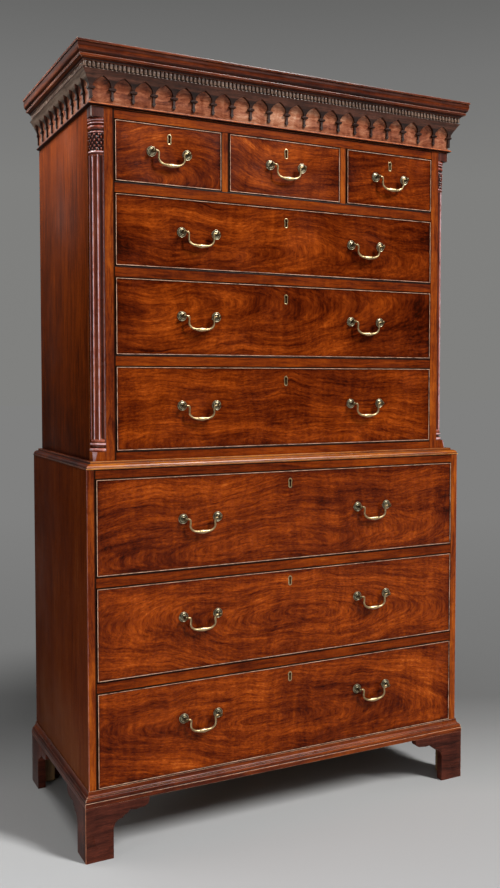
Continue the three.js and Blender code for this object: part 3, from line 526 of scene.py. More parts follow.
def prism(outline, low, high, place, bm=None):
    """An outline in two directions, drawn out along the third by place(a, b, c)."""
    ends = [[place(a, b, end) for a, b in outline] for end in (low, high)]
    return loft(ends, bm=bm)


def in_plan(x, y, z):
    return (x, y, z)


def in_side(y, z, x):
    return (x, y, z)


def brick(low, high, bm=None):
    outline = [(low[0], low[1]), (high[0], low[1]), (high[0], high[1]), (low[0], high[1])]
    return prism(outline, low[2], high[2], in_plan, bm=bm)


def pierced(outline, hole, low, high):
    """A plate in X and Z with one hole through it along Y."""
    bm = start()
    loops = (outline, hole)
    points = [point for loop in loops for point in loop]
    front = [corner(bm, (x, low, z)) for x, z in points]
    back = [corner(bm, (x, high, z)) for x, z in points]
    for a, b, c in tessellate_polygon([[Vector((x, z, 0)) for x, z in loop] for loop in loops]):
        bm.faces.new((front[a], front[b], front[c]))
        bm.faces.new((back[c], back[b], back[a]))
    first = 0
    for loop in loops:
        count = len(loop)
        for place in range(count):
            a, b = first + place, first + (place + 1) % count
            bm.faces.new((front[a], front[b], back[b], back[a]))
        first += count
    return bm


def turned(profile, centre, out, steps=28, bm=None):
    """A lathe shape round an axis along out. The profile gives radius, reach and wear."""
    bm = bm or start()
    out = Vector(out).normalized()
    up = Vector((0, 0, 1)) if abs(out.z) < 0.9 else Vector((1, 0, 0))
    side = out.cross(up).normalized()
    over = side.cross(out)
    rows = []
    for radius, reach, *wear in profile:
        middle = Vector(centre) + out * reach
        if not radius:
            rows.append([corner(bm, (*middle, *wear))])
            continue
        ring = []
        for step in range(steps):
            angle = 2 * math.pi * step / steps
            at = middle + side * (radius * math.cos(angle)) + over * (radius * math.sin(angle))
            ring.append(corner(bm, (*at, *wear)))
        rows.append(ring)
    for first, second in zip(rows, rows[1:]):
        for step in range(steps):
            after = (step + 1) % steps
            a, b = first[step % len(first)], first[after % len(first)]
            c, d = second[after % len(second)], second[step % len(second)]
            bm.faces.new(list(dict.fromkeys((a, b, c, d))))
    for row, turn in ((rows[0], -1), (rows[-1], 1)):
        if len(row) > 1:
            bm.faces.new(row[::turn])
    return bm


def make(name, bm, material, body=CASE, stands_for=(), slot=None, sharp=32.0):
    """Turns a bmesh in millimetres to a piece that rides on a body."""
    global boards_made
    boards_made += 1
    layer = bm.verts.layers.float[BOARD]
    for vert in bm.verts:
        vert[layer] = (boards_made * 0.618) % 1 * 9
        vert.co *= MM
    bmesh.ops.recalc_face_normals(bm, faces=bm.faces)
    mesh = bpy.data.meshes.new(name)
    bm.to_mesh(mesh)
    bm.free()
    mesh.polygons.foreach_set("use_smooth", [True] * len(mesh.polygons))
    mesh.set_sharp_from_angle(angle=math.radians(sharp))
    mesh.materials.append(material)
    piece = bpy.data.objects.new(name, mesh)
    scene.collection.objects.link(piece)
    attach(piece, body)
    if stands_for:
        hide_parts(*([stands_for] if isinstance(stands_for, str) else stands_for))
    return piece


def board(name, low, high, material, ease=0.6, worn=1.0, **details):
    return make(name, soften(brick(low, high), ease, worn=worn), material, **details)


# How wide the painted shadow strip on a rail or stile is, by which side of a drawer it lies on
ABOVE, BELOW, LEFT_OF, RIGHT_OF = 0.9, 3.2, 4.6, 1.0
EDGE_ROUND = 0.8


def edge_points(at, inward, painted_shade):
    """Points round a front edge: place, depth behind the face and wear. The painted shade is the width
    of a dark strip painted beside a drawer as its shadow. An edge without one is rubbed."""
    cut = EDGE_ROUND * 0.3125
    if not painted_shade:
        return [(at, EDGE_ROUND, 0), (at + inward * cut, cut, 1), (at + inward * EDGE_ROUND, 0, 0)]
    return [(at, EDGE_ROUND, -1), (at + inward * cut, cut, -1), (at + inward * EDGE_ROUND, 0, -1),
            (at + inward * (0.2 + painted_shade * 0.65), 0, -0.9), (at + inward * (0.4 + painted_shade), 0, 0)]


def edged(name, low, high, material, along, painted_shade, **details):
    """A rail (along 0) or upright (along 2) with painted shadow strips on its front face along its two
    long edges.
    """
    across = 2 - along
    first, last = low[across], high[across]
    outline = [(first, high[1] - low[1], 0)] + edge_points(first, 1, painted_shade[0])
    outline += edge_points(last, -1, painted_shade[1])[::-1] + [(last, high[1] - low[1], 0)]
    rings = []
    for end in (low[along], high[along]):
        rings.append([(end, low[1] + depth, at, wear) if along == 0 else (at, low[1] + depth, end, wear)
                      for at, depth, wear in outline])
    return make(name, loft(rings), material, **details)


# Curves

LEVEL = "level"
UPRIGHT = "upright"


def outline_from(shares, width, height, steps=9):
    """Points from shares of a width and height. A third item draws a quarter curve to the point."""
    points = []
    for across, up, *curve in shares:
        end = (across * width, up * height)
        if not curve:
            points.append(end)
            continue
        x0, z0 = points[-1]
        for step in range(1, steps + 1):
            angle = step / steps * math.pi / 2
            early, late = math.sin(angle), 1 - math.cos(angle)
            share_x, share_z = (early, late) if curve[0] == LEVEL else (late, early)
            points.append((x0 + (end[0] - x0) * share_x, z0 + (end[1] - z0) * share_z))
    return points


def profile_from(shares, inner, start_reach, end_reach, low, high):
    """A closed profile: an outline from shares, with a straight back at the inner reach."""
    outline = outline_from(shares, end_reach - start_reach, high - low)
    return [(inner, low)] + [(start_reach + out, low + rise) for out, rise in outline] + [(inner, high)]


# inner corners and the points beside them are darkened: grime in the quirks, and painted shade
BESIDE_DIRT_AND_SHADE = -0.55


def eased(points, radius=0.5, sharp=24.0):
    """Rounds the corners of a closed profile, and marks outer ones worn and inner ones sunk: grime and
    painted shade.
    """
    area = sum(a[0] * b[1] - b[0] * a[1] for a, b in zip(points, points[1:] + points[:1]))
    made = []
    for place, here in enumerate(points):
        mark = here[2] if len(here) > 2 else 0.0
        here = Vector(here[:2])
        arriving = here - Vector(points[place - 1][:2])
        leaving = Vector(points[(place + 1) % len(points)][:2]) - here
        turn = arriving.angle_signed(leaving) * (-1 if area > 0 else 1)
        room = min(arriving.length, leaving.length) / 2.2
        if abs(turn) < math.radians(sharp) or room < 0.1:
            made.append((here.x, here.y, mark))
            continue
        reach = min(radius, room)
        before = here - arriving.normalized() * reach
        after = here + leaving.normalized() * reach
        middle = here * 0.45 + (before + after) * 0.275
        beside = 0.0 if turn > 0 else BESIDE_DIRT_AND_SHADE
        made += [(before.x, before.y, beside), (middle.x, middle.y, 1.0 if turn > 0 else -1.0),
                 (after.x, after.y, beside)]
    return made


def banded(points, bands):
    """Marks the points of a profile that lie between two heights as worn or darkened; the crown's
    painted shade is marked so.
    """
    return [(x, z, next((mark for low, high, mark in bands if low <= z <= high), 0.0))
            for x, z in points]


CORNER_WEAR = 1.6
OUTER_SHARE = 0.35


def moulding(name, profile, half, front, woods, stands_for, radius=0.5, slot=MAHOGANY, corner_wear=1.0):
    """Three lengths of one moulding, mitred at the front corners: profile gives reach and height."""
    worn = eased(profile, radius)
    reach_most = max(out for out, _, _ in worn)

    def ring(place, wear):
        made = []
        for out, z, arris in worn:
            added = wear if out > reach_most * OUTER_SHARE else 0
            made.append((*place(out), z, max(arris, added) if arris >= 0 else arris))
        return made

    def flipped(points):
        return [(-x, *rest) for x, *rest in points]

    corner_at = ring(lambda out: (half + out, front - out), corner_wear)
    near_front = ring(lambda out: (half + out - CORNER_WEAR, front - out), 0)
    near_side = ring(lambda out: (half + out, front - out + CORNER_WEAR), 0)
    back_at = ring(lambda out: (half + out, BACK), 0)
    across, deep = woods
    make(f"{name}_front", loft([flipped(corner_at), flipped(near_front), near_front, corner_at]),
        WOODS[across], stands_for=stands_for, slot=slot)
    make(f"{name}_right", loft([corner_at, near_side, back_at]), WOODS[deep], slot=slot)
    make(f"{name}_left", loft([flipped(corner_at), flipped(near_side), flipped(back_at)]),
        WOODS[deep], slot=slot)


# Lower case: sides with their stiles, rails with their dust boards, bottom and backs

STILE_FACING = 6
for side, mark in SIDES:
    low, high = node_box(f"lower_side_{mark}")
    facing_back = low.y + STILE_FACING
    board(f"lower_side_{mark}", (low.x, facing_back, low.z), high, WOODS["side_lower"],
        stands_for=f"lower_side_{mark}", slot=MAHOGANY)
    edged(f"lower_stile_{mark}", low, (high.x, facing_back - HAIRLINE / 2, high.z),
        WOODS["case_upright"], 2, (0, LEFT_OF) if side < 0 else (RIGHT_OF, 0), slot=MAHOGANY)


def railed(node, rail_half, board_half, board_front, thickness):
    """A polished rail across the front, with its dust board behind."""
    low, high = node_box(node)
    rail_back = low.y + RAIL_DEPTH
    edged(f"{node}_rail", (-rail_half, low.y, low.z), (rail_half, rail_back, high.z),
        WOODS["case_across"], 0, (ABOVE, BELOW), stands_for=node, slot=MAHOGANY)
    board(f"{node}_dust_board",
        (-board_half, max(rail_back, board_front) + HAIRLINE, high.z - thickness),
        (board_half, BOARD_BACK, high.z), WOODS["deal_across"], ease=0.4)


lower_rail_half = node_box("lower_top_board")[1].x
for node, thickness in (("lower_top_board", CASE_BOARD), ("lower_divider_1", DUST_BOARD),
                        ("lower_divider_2", DUST_BOARD)):
    railed(node, lower_rail_half, lower_rail_half, 0, thickness)
low, high = node_box("lower_bottom_board")
edged("lower_bottom_rail", low, (high.x, low.y + RAIL_DEPTH, high.z), WOODS["case_across"], 0,
    (ABOVE, BELOW), stands_for="lower_bottom_board", slot=MAHOGANY)
board("lower_bottom_board", (low.x, low.y + RAIL_DEPTH + HAIRLINE, low.z), high,
    WOODS["deal_across"])


def planked(node, count, along="z", gap=0.8):
    """Stained boards edge to edge, with a shrinkage gap between them."""
    low, high = node_box(node)
    place = "xyz".index(along)
    step = (high[place] - low[place] + gap) / count
    for plank in range(count):
        first, last = list(low), list(high)
        first[place] = low[place] + plank * step
        last[place] = first[place] + step - gap
        board(f"{node}_plank_{plank + 1}", first, last, WOODS["deal_across"], ease=0.8,
            stands_for=node if plank == 0 else ())


planked("lower_back", 4)
planked("upper_back", 5)
planked("top_cover", 3, along="y")

# Base and waist mouldings

BASE_SHARES = [(1, 0), (1, 0.32), (0.88, 0.37), (0.62, 0.6, UPRIGHT), (0.54, 0.6), (0.54, 0.65),
               (0, 0.91, LEVEL), (0, 1)]
BASE_TOP_REACH = 2.5
low, high = node_box("base_moulding")
moulding("base_moulding",
    profile_from(BASE_SHARES, JOINT, BASE_TOP_REACH, high.x - LOWER_HALF, low.z, high.z),
    LOWER_HALF, LOWER_FRONT, ("moulding_across", "moulding_deep"), "base_moulding", radius=0.7)

WAIST_SHARES = [(1, 0), (1, 0.15), (0.93, 0.19), (0.52, 0.7, UPRIGHT), (0.42, 0.7), (0.42, 1)]
waist_inner = UPPER_HALF + JOINT - LOWER_HALF
low, high = node_box("waist_moulding")
moulding("waist_moulding",
    profile_from(WAIST_SHARES, waist_inner, waist_inner, high.x - LOWER_HALF, low.z, high.z),
    LOWER_HALF, LOWER_FRONT, ("waist_across", "moulding_deep"), "waist_moulding", radius=0.6)

# Bracket feet: each pair of brackets is one mitred corner, with a glue block behind

SCROLL_SHARES = [(0.43, 0), (0.43, 0.535), (0.57, 0.71, UPRIGHT), (0.6, 0.765), (0.68, 0.835, LEVEL),
                 (0.78, 0.82), (0.88, 0.835), (0.99, 0.92, LEVEL), (1, 0.999)]
PLAIN_SHARES = [(0.43, 0), (1, 0.85)]
BRACKET = 20
BRACKET_EASE = 0.7
CORNER_ROUND = 1.5
CORNER_NEAR = 1.2
GLUE_WIDTH = 30
GLUE_RISE = 9


def foot(mark, side, end, along_shares, backward_shares):
    node = f"foot_{mark}"
    low, high = node_box(node)
    top = high.z
    corner_x = high.x if side > 0 else low.x
    corner_y = high.y if end > 0 else low.y

    def ring(*places):
        return [(corner_x - side * a, corner_y - end * b, z) for a, b, z in places]

    def leg(shares, turn):
        """Rings of one bracket from the corner outwards. Turn puts a run and a depth along X and Y."""
        points = [(CORNER_ROUND, 0), (BRACKET, 0)] + outline_from(shares, high.x - low.x, top, steps=7)
        rings = []
        for run, z_low in points:
            outer, inner = turn(run, 0), turn(max(run, BRACKET), BRACKET)
            rings.append(ring((*outer, top), (*outer, z_low), (*inner, z_low), (*inner, top)))
        return rings

    first = leg(along_shares, lambda run, depth: (run, depth))
    second = leg(backward_shares, lambda run, depth: (depth, run))
    pulled = CORNER_ROUND * 0.3
    middle = ring((pulled, pulled, top), (pulled, pulled, 0), (BRACKET, BRACKET, 0),
        (BRACKET, BRACKET, top))
    bm = loft(first[::-1] + [middle] + second)
    bmesh.ops.remove_doubles(bm, verts=bm.verts, dist=0.01)
    soften(bm, BRACKET_EASE, limit=40.0)
    layer = bm.verts.layers.float[ARRIS]
    for vert in bm.verts:
        if abs(vert.co.x - corner_x) + abs(vert.co.y - corner_y) < CORNER_NEAR:
            vert[layer] = 1.0
    make(f"{node}_brackets", bm, WOODS["bracket_across"], stands_for=node, slot=MAHOGANY)
    inner, outer = BRACKET + HAIRLINE, BRACKET + GLUE_WIDTH
    xs = sorted((corner_x - side * inner, corner_x - side * outer))
    ys = sorted((corner_y - end * inner, corner_y - end * outer))
    board(f"{node}_glue_block", (xs[0], ys[0], GLUE_RISE), (xs[1], ys[1], top),
        WOODS["deal_upright"], ease=1.2)


for row, end, along_shares in (("front", -1, SCROLL_SHARES), ("back", 1, PLAIN_SHARES)):
    for side, mark in SIDES:
        foot(f"{row}_{mark}", side, end, along_shares, SCROLL_SHARES)

# Upper case: sides with their posts, square blocks and drawer guides

COLUMN_LOW, COLUMN_HIGH = node_box("quarter_column_right")
GUIDE_HEIGHT = 20
SQUARE = 1.2
# share of the height and width of the chamfer: the chamfer runs out downwards in a lamb's tongue
TONGUE = [(0, SQUARE), (0.12, 1.5), (0.3, 2.6), (0.5, 4.6), (0.7, 6.6), (0.88, 8.4), (1, 9.2)]


def square_block(name, side, bottom, top, chamfers, wood):
    """A corner block whose front arris is chamfered. The chamfer is marked pale: rubbed, and a painted
    sheen.
    """
    rings = []
    for share, chamfer in chamfers:
        z = bottom + share * (top - bottom)
        points = [(NOTCH_HALF, NOTCH_BACK, 0), (NOTCH_HALF, UPPER_FRONT, 0),
                  (UPPER_HALF - chamfer - 0.6, UPPER_FRONT, 0),
                  (UPPER_HALF - chamfer + 0.2, UPPER_FRONT + 0.3, 1),
                  (UPPER_HALF - 0.3, UPPER_FRONT + chamfer - 0.2, 1),
                  (UPPER_HALF, UPPER_FRONT + chamfer + 0.6, 0), (UPPER_HALF, NOTCH_BACK, 0)]
        rings.append([(side * x, y, z, wear) for x, y, wear in points])
    make(name, loft(rings), wood, slot=MAHOGANY, sharp=24.0)


for side, mark in SIDES:
    node = f"upper_side_{mark}"
    low, high = node_box(node)
    xs = sorted((side * UPPER_INNER, side * UPPER_HALF))
    board(node, (xs[0], NOTCH_BACK, low.z), (xs[1], BACK, high.z), WOODS["side_upper"],
        stands_for=node, slot=MAHOGANY)
    post_outer = UPPER_INNER - HAIRLINE / 2
    plan = [(OPENING_HALF, STILE_DEPTH, 0)]
    plan += edge_points(OPENING_HALF, 1, LEFT_OF if side < 0 else RIGHT_OF)
    plan += [(NOTCH_HALF - 0.6, 0, 0), (NOTCH_HALF - 0.1, 0.6, 0.4), (NOTCH_HALF, NOTCH, -1),
             (post_outer, NOTCH, 0), (post_outer, STILE_DEPTH, 0)]
    post = loft([[(side * x, UPPER_FRONT + behind, z, wear) for x, behind, wear in plan]
                 for z in (low.z, high.z)])
    make(f"upper_stile_{mark}", post, WOODS["case_upright"], slot=MAHOGANY)
    square_block(f"upper_lower_block_{mark}", side, low.z, COLUMN_LOW.z - JOINT, TONGUE,
        WOODS["case_upright"])
    square_block(f"upper_top_block_{mark}", side, COLUMN_HIGH.z + JOINT, high.z,
        [(0, SQUARE), (1, SQUARE)], WOODS["block_upright"])
    guided = ("upper_drawer_3", "upper_drawer_2", "upper_drawer_1", "small_drawer_left")
    xs = sorted((side * (OPENING_HALF + 0.2), side * post_outer))
    for place, drawer_name in enumerate(guided):
        bottom = node_box(f"{drawer_name}_front")[0].z - DRAWER_GAP + JOINT
        board(f"upper_guide_{mark}_{place + 1}", (xs[0], STILE_BACK + HAIRLINE, bottom),
            (xs[1], BOARD_BACK, bottom + GUIDE_HEIGHT), WOODS["deal_deep"], ease=0.5)

# Rails of the upper case, and the partitions between the small drawers

PARTITION = 19.4
PARTITION_STEP = 3
PARTITION_ABOVE = 0.9
upper_rail_half = OPENING_HALF - JOINT
upper_board_half = UPPER_INNER - JOINT
for node, thickness in (("upper_bottom_board", BOTTOM_BOARD), ("upper_divider_2", DUST_BOARD),
                        ("upper_divider_1", DUST_BOARD), ("upper_top_board", CASE_BOARD)):
    railed(node, upper_rail_half, upper_board_half, STILE_BACK + JOINT, thickness)
small_low, small_high = node_box("small_drawer_left_front")
small_floor = small_low.z - DRAWER_GAP
rail_back = UPPER_FRONT + RAIL_DEPTH
divider_low = node_box("small_drawer_divider")[0]
edged("small_drawer_divider_rail", (-upper_rail_half, UPPER_FRONT, divider_low.z),
    (upper_rail_half, rail_back, small_floor), WOODS["case_across"], 0, (ABOVE, BELOW),
    stands_for="small_drawer_divider", slot=MAHOGANY)
board("small_drawer_divider_dust_board",
    (-upper_board_half, rail_back + HAIRLINE, small_floor - DUST_BOARD),
    (upper_board_half, BOARD_BACK, small_floor), WOODS["deal_across"], ease=0.4)
partition_inner = node_box("small_drawer_middle_front")[1].x + DRAWER_GAP
partition_low, partition_high = small_floor + HAIRLINE / 2, small_high.z + PARTITION_ABOVE
for side, mark in SIDES:
    xs = sorted((side * partition_inner, side * (partition_inner + PARTITION)))
    edged(f"partition_{mark}", (xs[0], UPPER_FRONT, partition_low), (xs[1], rail_back, partition_high),
        WOODS["case_upright"], 2, (RIGHT_OF, LEFT_OF), slot=MAHOGANY)
    board(f"partition_board_{mark}", (xs[0] + PARTITION_STEP, rail_back + HAIRLINE, partition_low),
        (xs[1] - PARTITION_STEP, BOARD_BACK, partition_high), WOODS["deal_deep"], ease=0.5)

# Quarter columns: turned base, stopped flutes and a carved leaf capital

FLUTES = 3
FLUTE_STEPS = 16
FLUTE_DEPTH = 4.2
FLUTE_SHARE = 0.83
FLUTE_END = 4.5
FLUTE_GAP = 2.5
# how dark the outer and middle flutes are painted as shade; the middle flute faces the key lamp and
# stays lighter
OUTER_FLUTE_SHADE = 0.95
MIDDLE_FLUTE_SHADE = 0.5
SHAFT_SHARE = 0.885
BASE_HEIGHT = 25
CAPITAL_HEIGHT = 80
# height, radius and wear, the first two as shares; the wear paints pale highlight rings and dark shaded
# bands on the turned base and capital
BASE_RADII = [(0, 0.93, -0.6), (0.03, 0.97, 0), (0.1, 1.0, 0.3), (0.2, 1.0, 0.9), (0.3, 0.97, 0.2),
              (0.34, 0.9, -0.8), (0.36, 0.84, -1), (0.46, 0.82, -0.6), (0.56, 0.86, -0.8),
              (0.58, 0.92, -0.4), (0.62, 0.965, 0.2), (0.7, 0.98, 1), (0.78, 0.955, 0.2),
              (0.81, 0.9, -0.8), (0.84, 0.875, -1), (1, SHAFT_SHARE, 0.2)]
CAPITAL_RADII = [(0, SHAFT_SHARE, -1), (0.015, 0.93, -0.4), (0.04, 0.965, 0.9), (0.065, 0.93, 0.1),
                 (0.08, 0.87, -1), (0.12, 0.85, -0.8), (0.3, 0.86, -0.6), (0.5, 0.89, -0.6),
                 (0.57, 0.88, -1), (0.585, 0.93, 0), (0.6, 0.965, 0.8), (0.62, 0.93, 0),
                 (0.635, 0.86, -1), (0.66, 0.86, -1), (0.69, 0.93, -0.6), (0.72, 0.97, -0.1),
                 (0.75, 0.975, 0.3), (0.78, 0.94, -0.3), (0.8, 0.87, -0.9), (0.815, 0.85, -1),
                 (0.83, 0.93, -0.3), (0.845, 0.98, 0.9), (0.86, 0.98, 0.3), (0.88, 0.93, -0.7),
                 (0.91, 0.95, -0.5), (0.93, 0.99, 0.9), (0.95, 1.0, -0.2), (0.99, 0.99, -0.5),
                 (1, 0.97, -1)]
LEAVES = 4
LEAF_ROWS = 6
LEAF_STEPS = 54
LEAF_START = 0.09
LEAF_END = 0.565
# how far a leaf and its rib stand out, how deep the ground lies, and the rib's share of a leaf
LEAF_RISE, RIB_RISE, LEAF_GROUND, RIB_SHARE = 2.2, 0.6, 0.8, 0.16
# the lands between flutes are marked pale: rubbed, and a painted sheen
FILLET_WEAR = 0.9


def leaf_relief(angle_share, rise):
    """How far the carving stands out: rows of small overlapping leaves, each tip over the next root."""
    if not LEAF_START < rise < LEAF_END:
        return 0.0
    rows = (rise - LEAF_START) / (LEAF_END - LEAF_START) * LEAF_ROWS
    row = int(rows)
    up = rows - row
    across = (angle_share * LEAVES + 0.5 * (row % 2)) % 1 * 2 - 1
    width = math.sqrt(max(0.02, 1 - up ** 3))
    inside = max(0.0, 1 - (abs(across) / width) ** 2)
    rib = math.exp(-(across / RIB_SHARE) ** 2)
    return LEAF_RISE * inside * (0.3 + 0.7 * up) + RIB_RISE * rib * inside - LEAF_GROUND * (1 - inside)


def column_ring(side, z, radius, flute=0.0, carve=None, tint=0.0):
    """A quarter ring from the side face round to the front."""
    centre_x, centre_y = NOTCH_HALF + JOINT, NOTCH_BACK - JOINT
    points = [(side * centre_x, centre_y, z, tint)]
    count = FLUTES * FLUTE_STEPS
    for step in range(count + 1):
        share = step / count
        within = (share * FLUTES) % 1 * 2 - 1
        sunk = 0.0
        wear = tint
        # flutes are darkened with their depth as painted shade; lands get wear and a painted sheen
        if flute and abs(within) < FLUTE_SHARE:
            sunk = flute * math.sqrt(1 - (within / FLUTE_SHARE) ** 2)
            painted_shade = MIDDLE_FLUTE_SHADE if 1 / 3 < share < 2 / 3 else OUTER_FLUTE_SHADE
            wear = -painted_shade * sunk / FLUTE_DEPTH
        elif flute:
            wear = FILLET_WEAR
        raised = leaf_relief(share, carve) if carve is not None else 0.0
        # leaf tips get a painted highlight, and the ground between the leaves painted shade with grime
        if carve is not None and LEAF_START < carve < LEAF_END:
            wear = max(-1.0, min(1.0, raised * 1.5 - 2.6))
        reach = min(radius - sunk + raised, COLUMN_HIGH.x - centre_x)
        angle = share * math.pi / 2
        points.append((side * (centre_x + reach * math.cos(angle)),
            centre_y - reach * math.sin(angle), z, wear))
    return points


def between(keys, at):
    """The radius and wear at a height between two keys."""
    after = next(place for place, key in enumerate(keys) if key[0] >= at)
    before = max(0, after - 1)
    span = keys[after][0] - keys[before][0]
    part = (at - keys[before][0]) / span if span else 0
    return (keys[before][n] + (keys[after][n] - keys[before][n]) * part for n in (1, 2))


def quarter_column(side, mark):
    widest = COLUMN_HIGH.x - NOTCH_HALF - JOINT
    bottom, top = COLUMN_LOW.z, COLUMN_HIGH.z
    rings = [column_ring(side, bottom + rise * BASE_HEIGHT, radius * widest, tint=tint)
             for rise, radius, tint in BASE_RADII]
    capital = top - CAPITAL_HEIGHT
    first, last = bottom + BASE_HEIGHT + FLUTE_GAP, capital - FLUTE_GAP
    ends = [math.radians(degrees) for degrees in range(0, 91, 15)]
    for end, inward, angles in ((first, 1, ends), (last, -1, ends[::-1])):
        for angle in angles:
            z = end + inward * FLUTE_END * (1 - math.cos(angle))
            rings.append(column_ring(side, z, SHAFT_SHARE * widest, FLUTE_DEPTH * math.sin(angle)))
    rises = {LEAF_START + (LEAF_END - LEAF_START) * step / LEAF_STEPS for step in range(LEAF_STEPS + 1)}
    for rise in sorted(rises | {key[0] for key in CAPITAL_RADII}):
        radius, tint = between(CAPITAL_RADII, rise)
        rings.append(column_ring(side, capital + rise * CAPITAL_HEIGHT, radius * widest, carve=rise,
            tint=tint))
    node = f"quarter_column_{mark}"
    make(node, loft(rings), WOODS["carved"], stands_for=node, slot=CARVING, sharp=50.0)


for side, mark in SIDES:
    quarter_column(side, mark)

# Frieze with its neck bead

NECK_HEIGHT = 9
NECK_REACH = 7
NECK_LIP = 0.4
NECK_EDGE = 0.8
NECK_TOP_REACH = 1.6
NECK_TOP_EDGE = 1.2
NECK_ROUND = 6.8
NECK_STEPS = 12
COVE_START = 14
COVE_REACH = 15
COVE_CURVE = 0.92
COVE_STEPS = 14
FRIEZE_INNER = -18
frieze_low, frieze_high = node_box("frieze")
fret_low, fret_high = node_box("fretwork")
FRET_HEIGHT = fret_high.z - fret_low.z


def cove_out(z):
    share = max(0.0, z - fret_low.z - COVE_START) / (FRET_HEIGHT - COVE_START)

    def curve(reach):
        return 1 - math.sqrt(max(0.0, 1 - (COVE_CURVE * reach) ** 2))

    return COVE_REACH * curve(min(1.0, share)) / curve(1)


neck_top = frieze_low.z + NECK_HEIGHT
neck_edge = frieze_low.z + NECK_EDGE
neck_profile = [(FRIEZE_INNER, frieze_low.z), (NECK_LIP, frieze_low.z), (NECK_LIP, neck_edge)]
# the bead's lower half is marked dark as painted shade, and its upper curve pale as a painted highlight
for step in range(1, NECK_STEPS):
    angle = math.pi * step / NECK_STEPS
    neck_profile.append((NECK_LIP + (NECK_REACH - NECK_LIP) * math.sin(angle) ** 0.8,
        neck_edge + NECK_ROUND * (1 - math.cos(angle)) / 2,
        -1.0 if step < 5 else 0.9 if 6 < step < 10 else -0.3))
neck_profile += [(NECK_TOP_REACH, neck_top - NECK_TOP_EDGE), (NECK_TOP_REACH, neck_top - HAIRLINE),
                 (FRIEZE_INNER, neck_top - HAIRLINE)]
moulding("neck_bead", neck_profile, UPPER_HALF, UPPER_FRONT, ("neck_across", "neck_deep"), (),
    radius=0.4)
cove_low = fret_low.z + COVE_START
frieze_profile = [(FRIEZE_INNER, neck_top), (0, neck_top), (0, cove_low)]
for step in range(1, COVE_STEPS + 1):
    z = cove_low + (FRET_HEIGHT - COVE_START) * step / COVE_STEPS
    frieze_profile.append((cove_out(z), min(z, frieze_high.z)))
frieze_profile.append((FRIEZE_INNER, frieze_high.z))
moulding("frieze", frieze_profile, UPPER_HALF, UPPER_FRONT, ("frieze_across", "frieze_deep"),
    "frieze", slot=VENEER, corner_wear=0.0)

# Fretwork: a sawn sheet of pointed arches, with a pendant cross at each springing

FRONT_BAYS = 20
SIDE_BAYS = 10
# height of the sheet as a share, with its depth in millimetres: pendants are thinner than arches
FRET_DEPTHS = [(0, 3.8), (0.34, 3.8), (0.365, 6.5), (0.435, 6.5), (0.46, 4.2), (0.56, 4.5),
               (0.8, 8.5), (1.0, 8.5)]
# height of the sheet, with the width of the wood as a share of a bay: drop, cross, and arches
FRET_WIDTHS = [(0, 0.1), (0.06, 0.1), (0.07, 0.16), (0.09, 0.17), (0.115, 0.14), (0.14, 0.1),
               (0.31, 0.1), (0.34, 0.13), (0.35, 0.24), (0.365, 0.32), (0.4, 0.35), (0.435, 0.32),
               (0.45, 0.24), (0.46, 0.13), (0.5, 0.14), (0.54, 0.16), (0.58, 0.19), (0.62, 0.24),
               (0.66, 0.32), (0.7, 0.43), (0.74, 0.56), (0.78, 0.72), (0.81, 0.86), (0.835, 1.0),
               (0.92, 1.0), (1.0, 1.0)]
front_bay = 2 * UPPER_HALF / FRONT_BAYS
side_bay = (BACK - UPPER_FRONT) / SIDE_BAYS


def fret_depth(share):
    (s1, d1), (s2, d2) = next(pair for pair in zip(FRET_DEPTHS, FRET_DEPTHS[1:])
                              if share <= pair[1][0])
    return d1 + (d2 - d1) * (share - s1) / (s2 - s1)


def fret_pendants():
    """For each pendant from the back left round to the back right, its plan at a width and a reach."""
    def left_side(bay):
        middle = UPPER_FRONT + bay * side_bay
        return lambda share, out: [
            (-UPPER_HALF - out, min(BACK, middle + share * side_bay / 2)),
            (-UPPER_HALF - out, middle - share * side_bay / 2)]

    def left_corner(share, out):
        return [(-UPPER_HALF - out, UPPER_FRONT + share * side_bay / 2),
                (-UPPER_HALF - out, UPPER_FRONT - out),
                (-UPPER_HALF + share * front_bay / 2, UPPER_FRONT - out)]

    def front_pendant(bay):
        middle = -UPPER_HALF + bay * front_bay
        return lambda share, out: [(middle - share * front_bay / 2, UPPER_FRONT - out),
                                   (middle + share * front_bay / 2, UPPER_FRONT - out)]

    def to_right(pendant):
        return lambda share, out: [(-x, y) for x, y in pendant(share, out)[::-1]]

    left = [left_side(bay) for bay in range(SIDE_BAYS, 0, -1)] + [left_corner]
    fronts = [front_pendant(bay) for bay in range(1, FRONT_BAYS)]
    return left + fronts + [to_right(pendant) for pendant in left[::-1]]


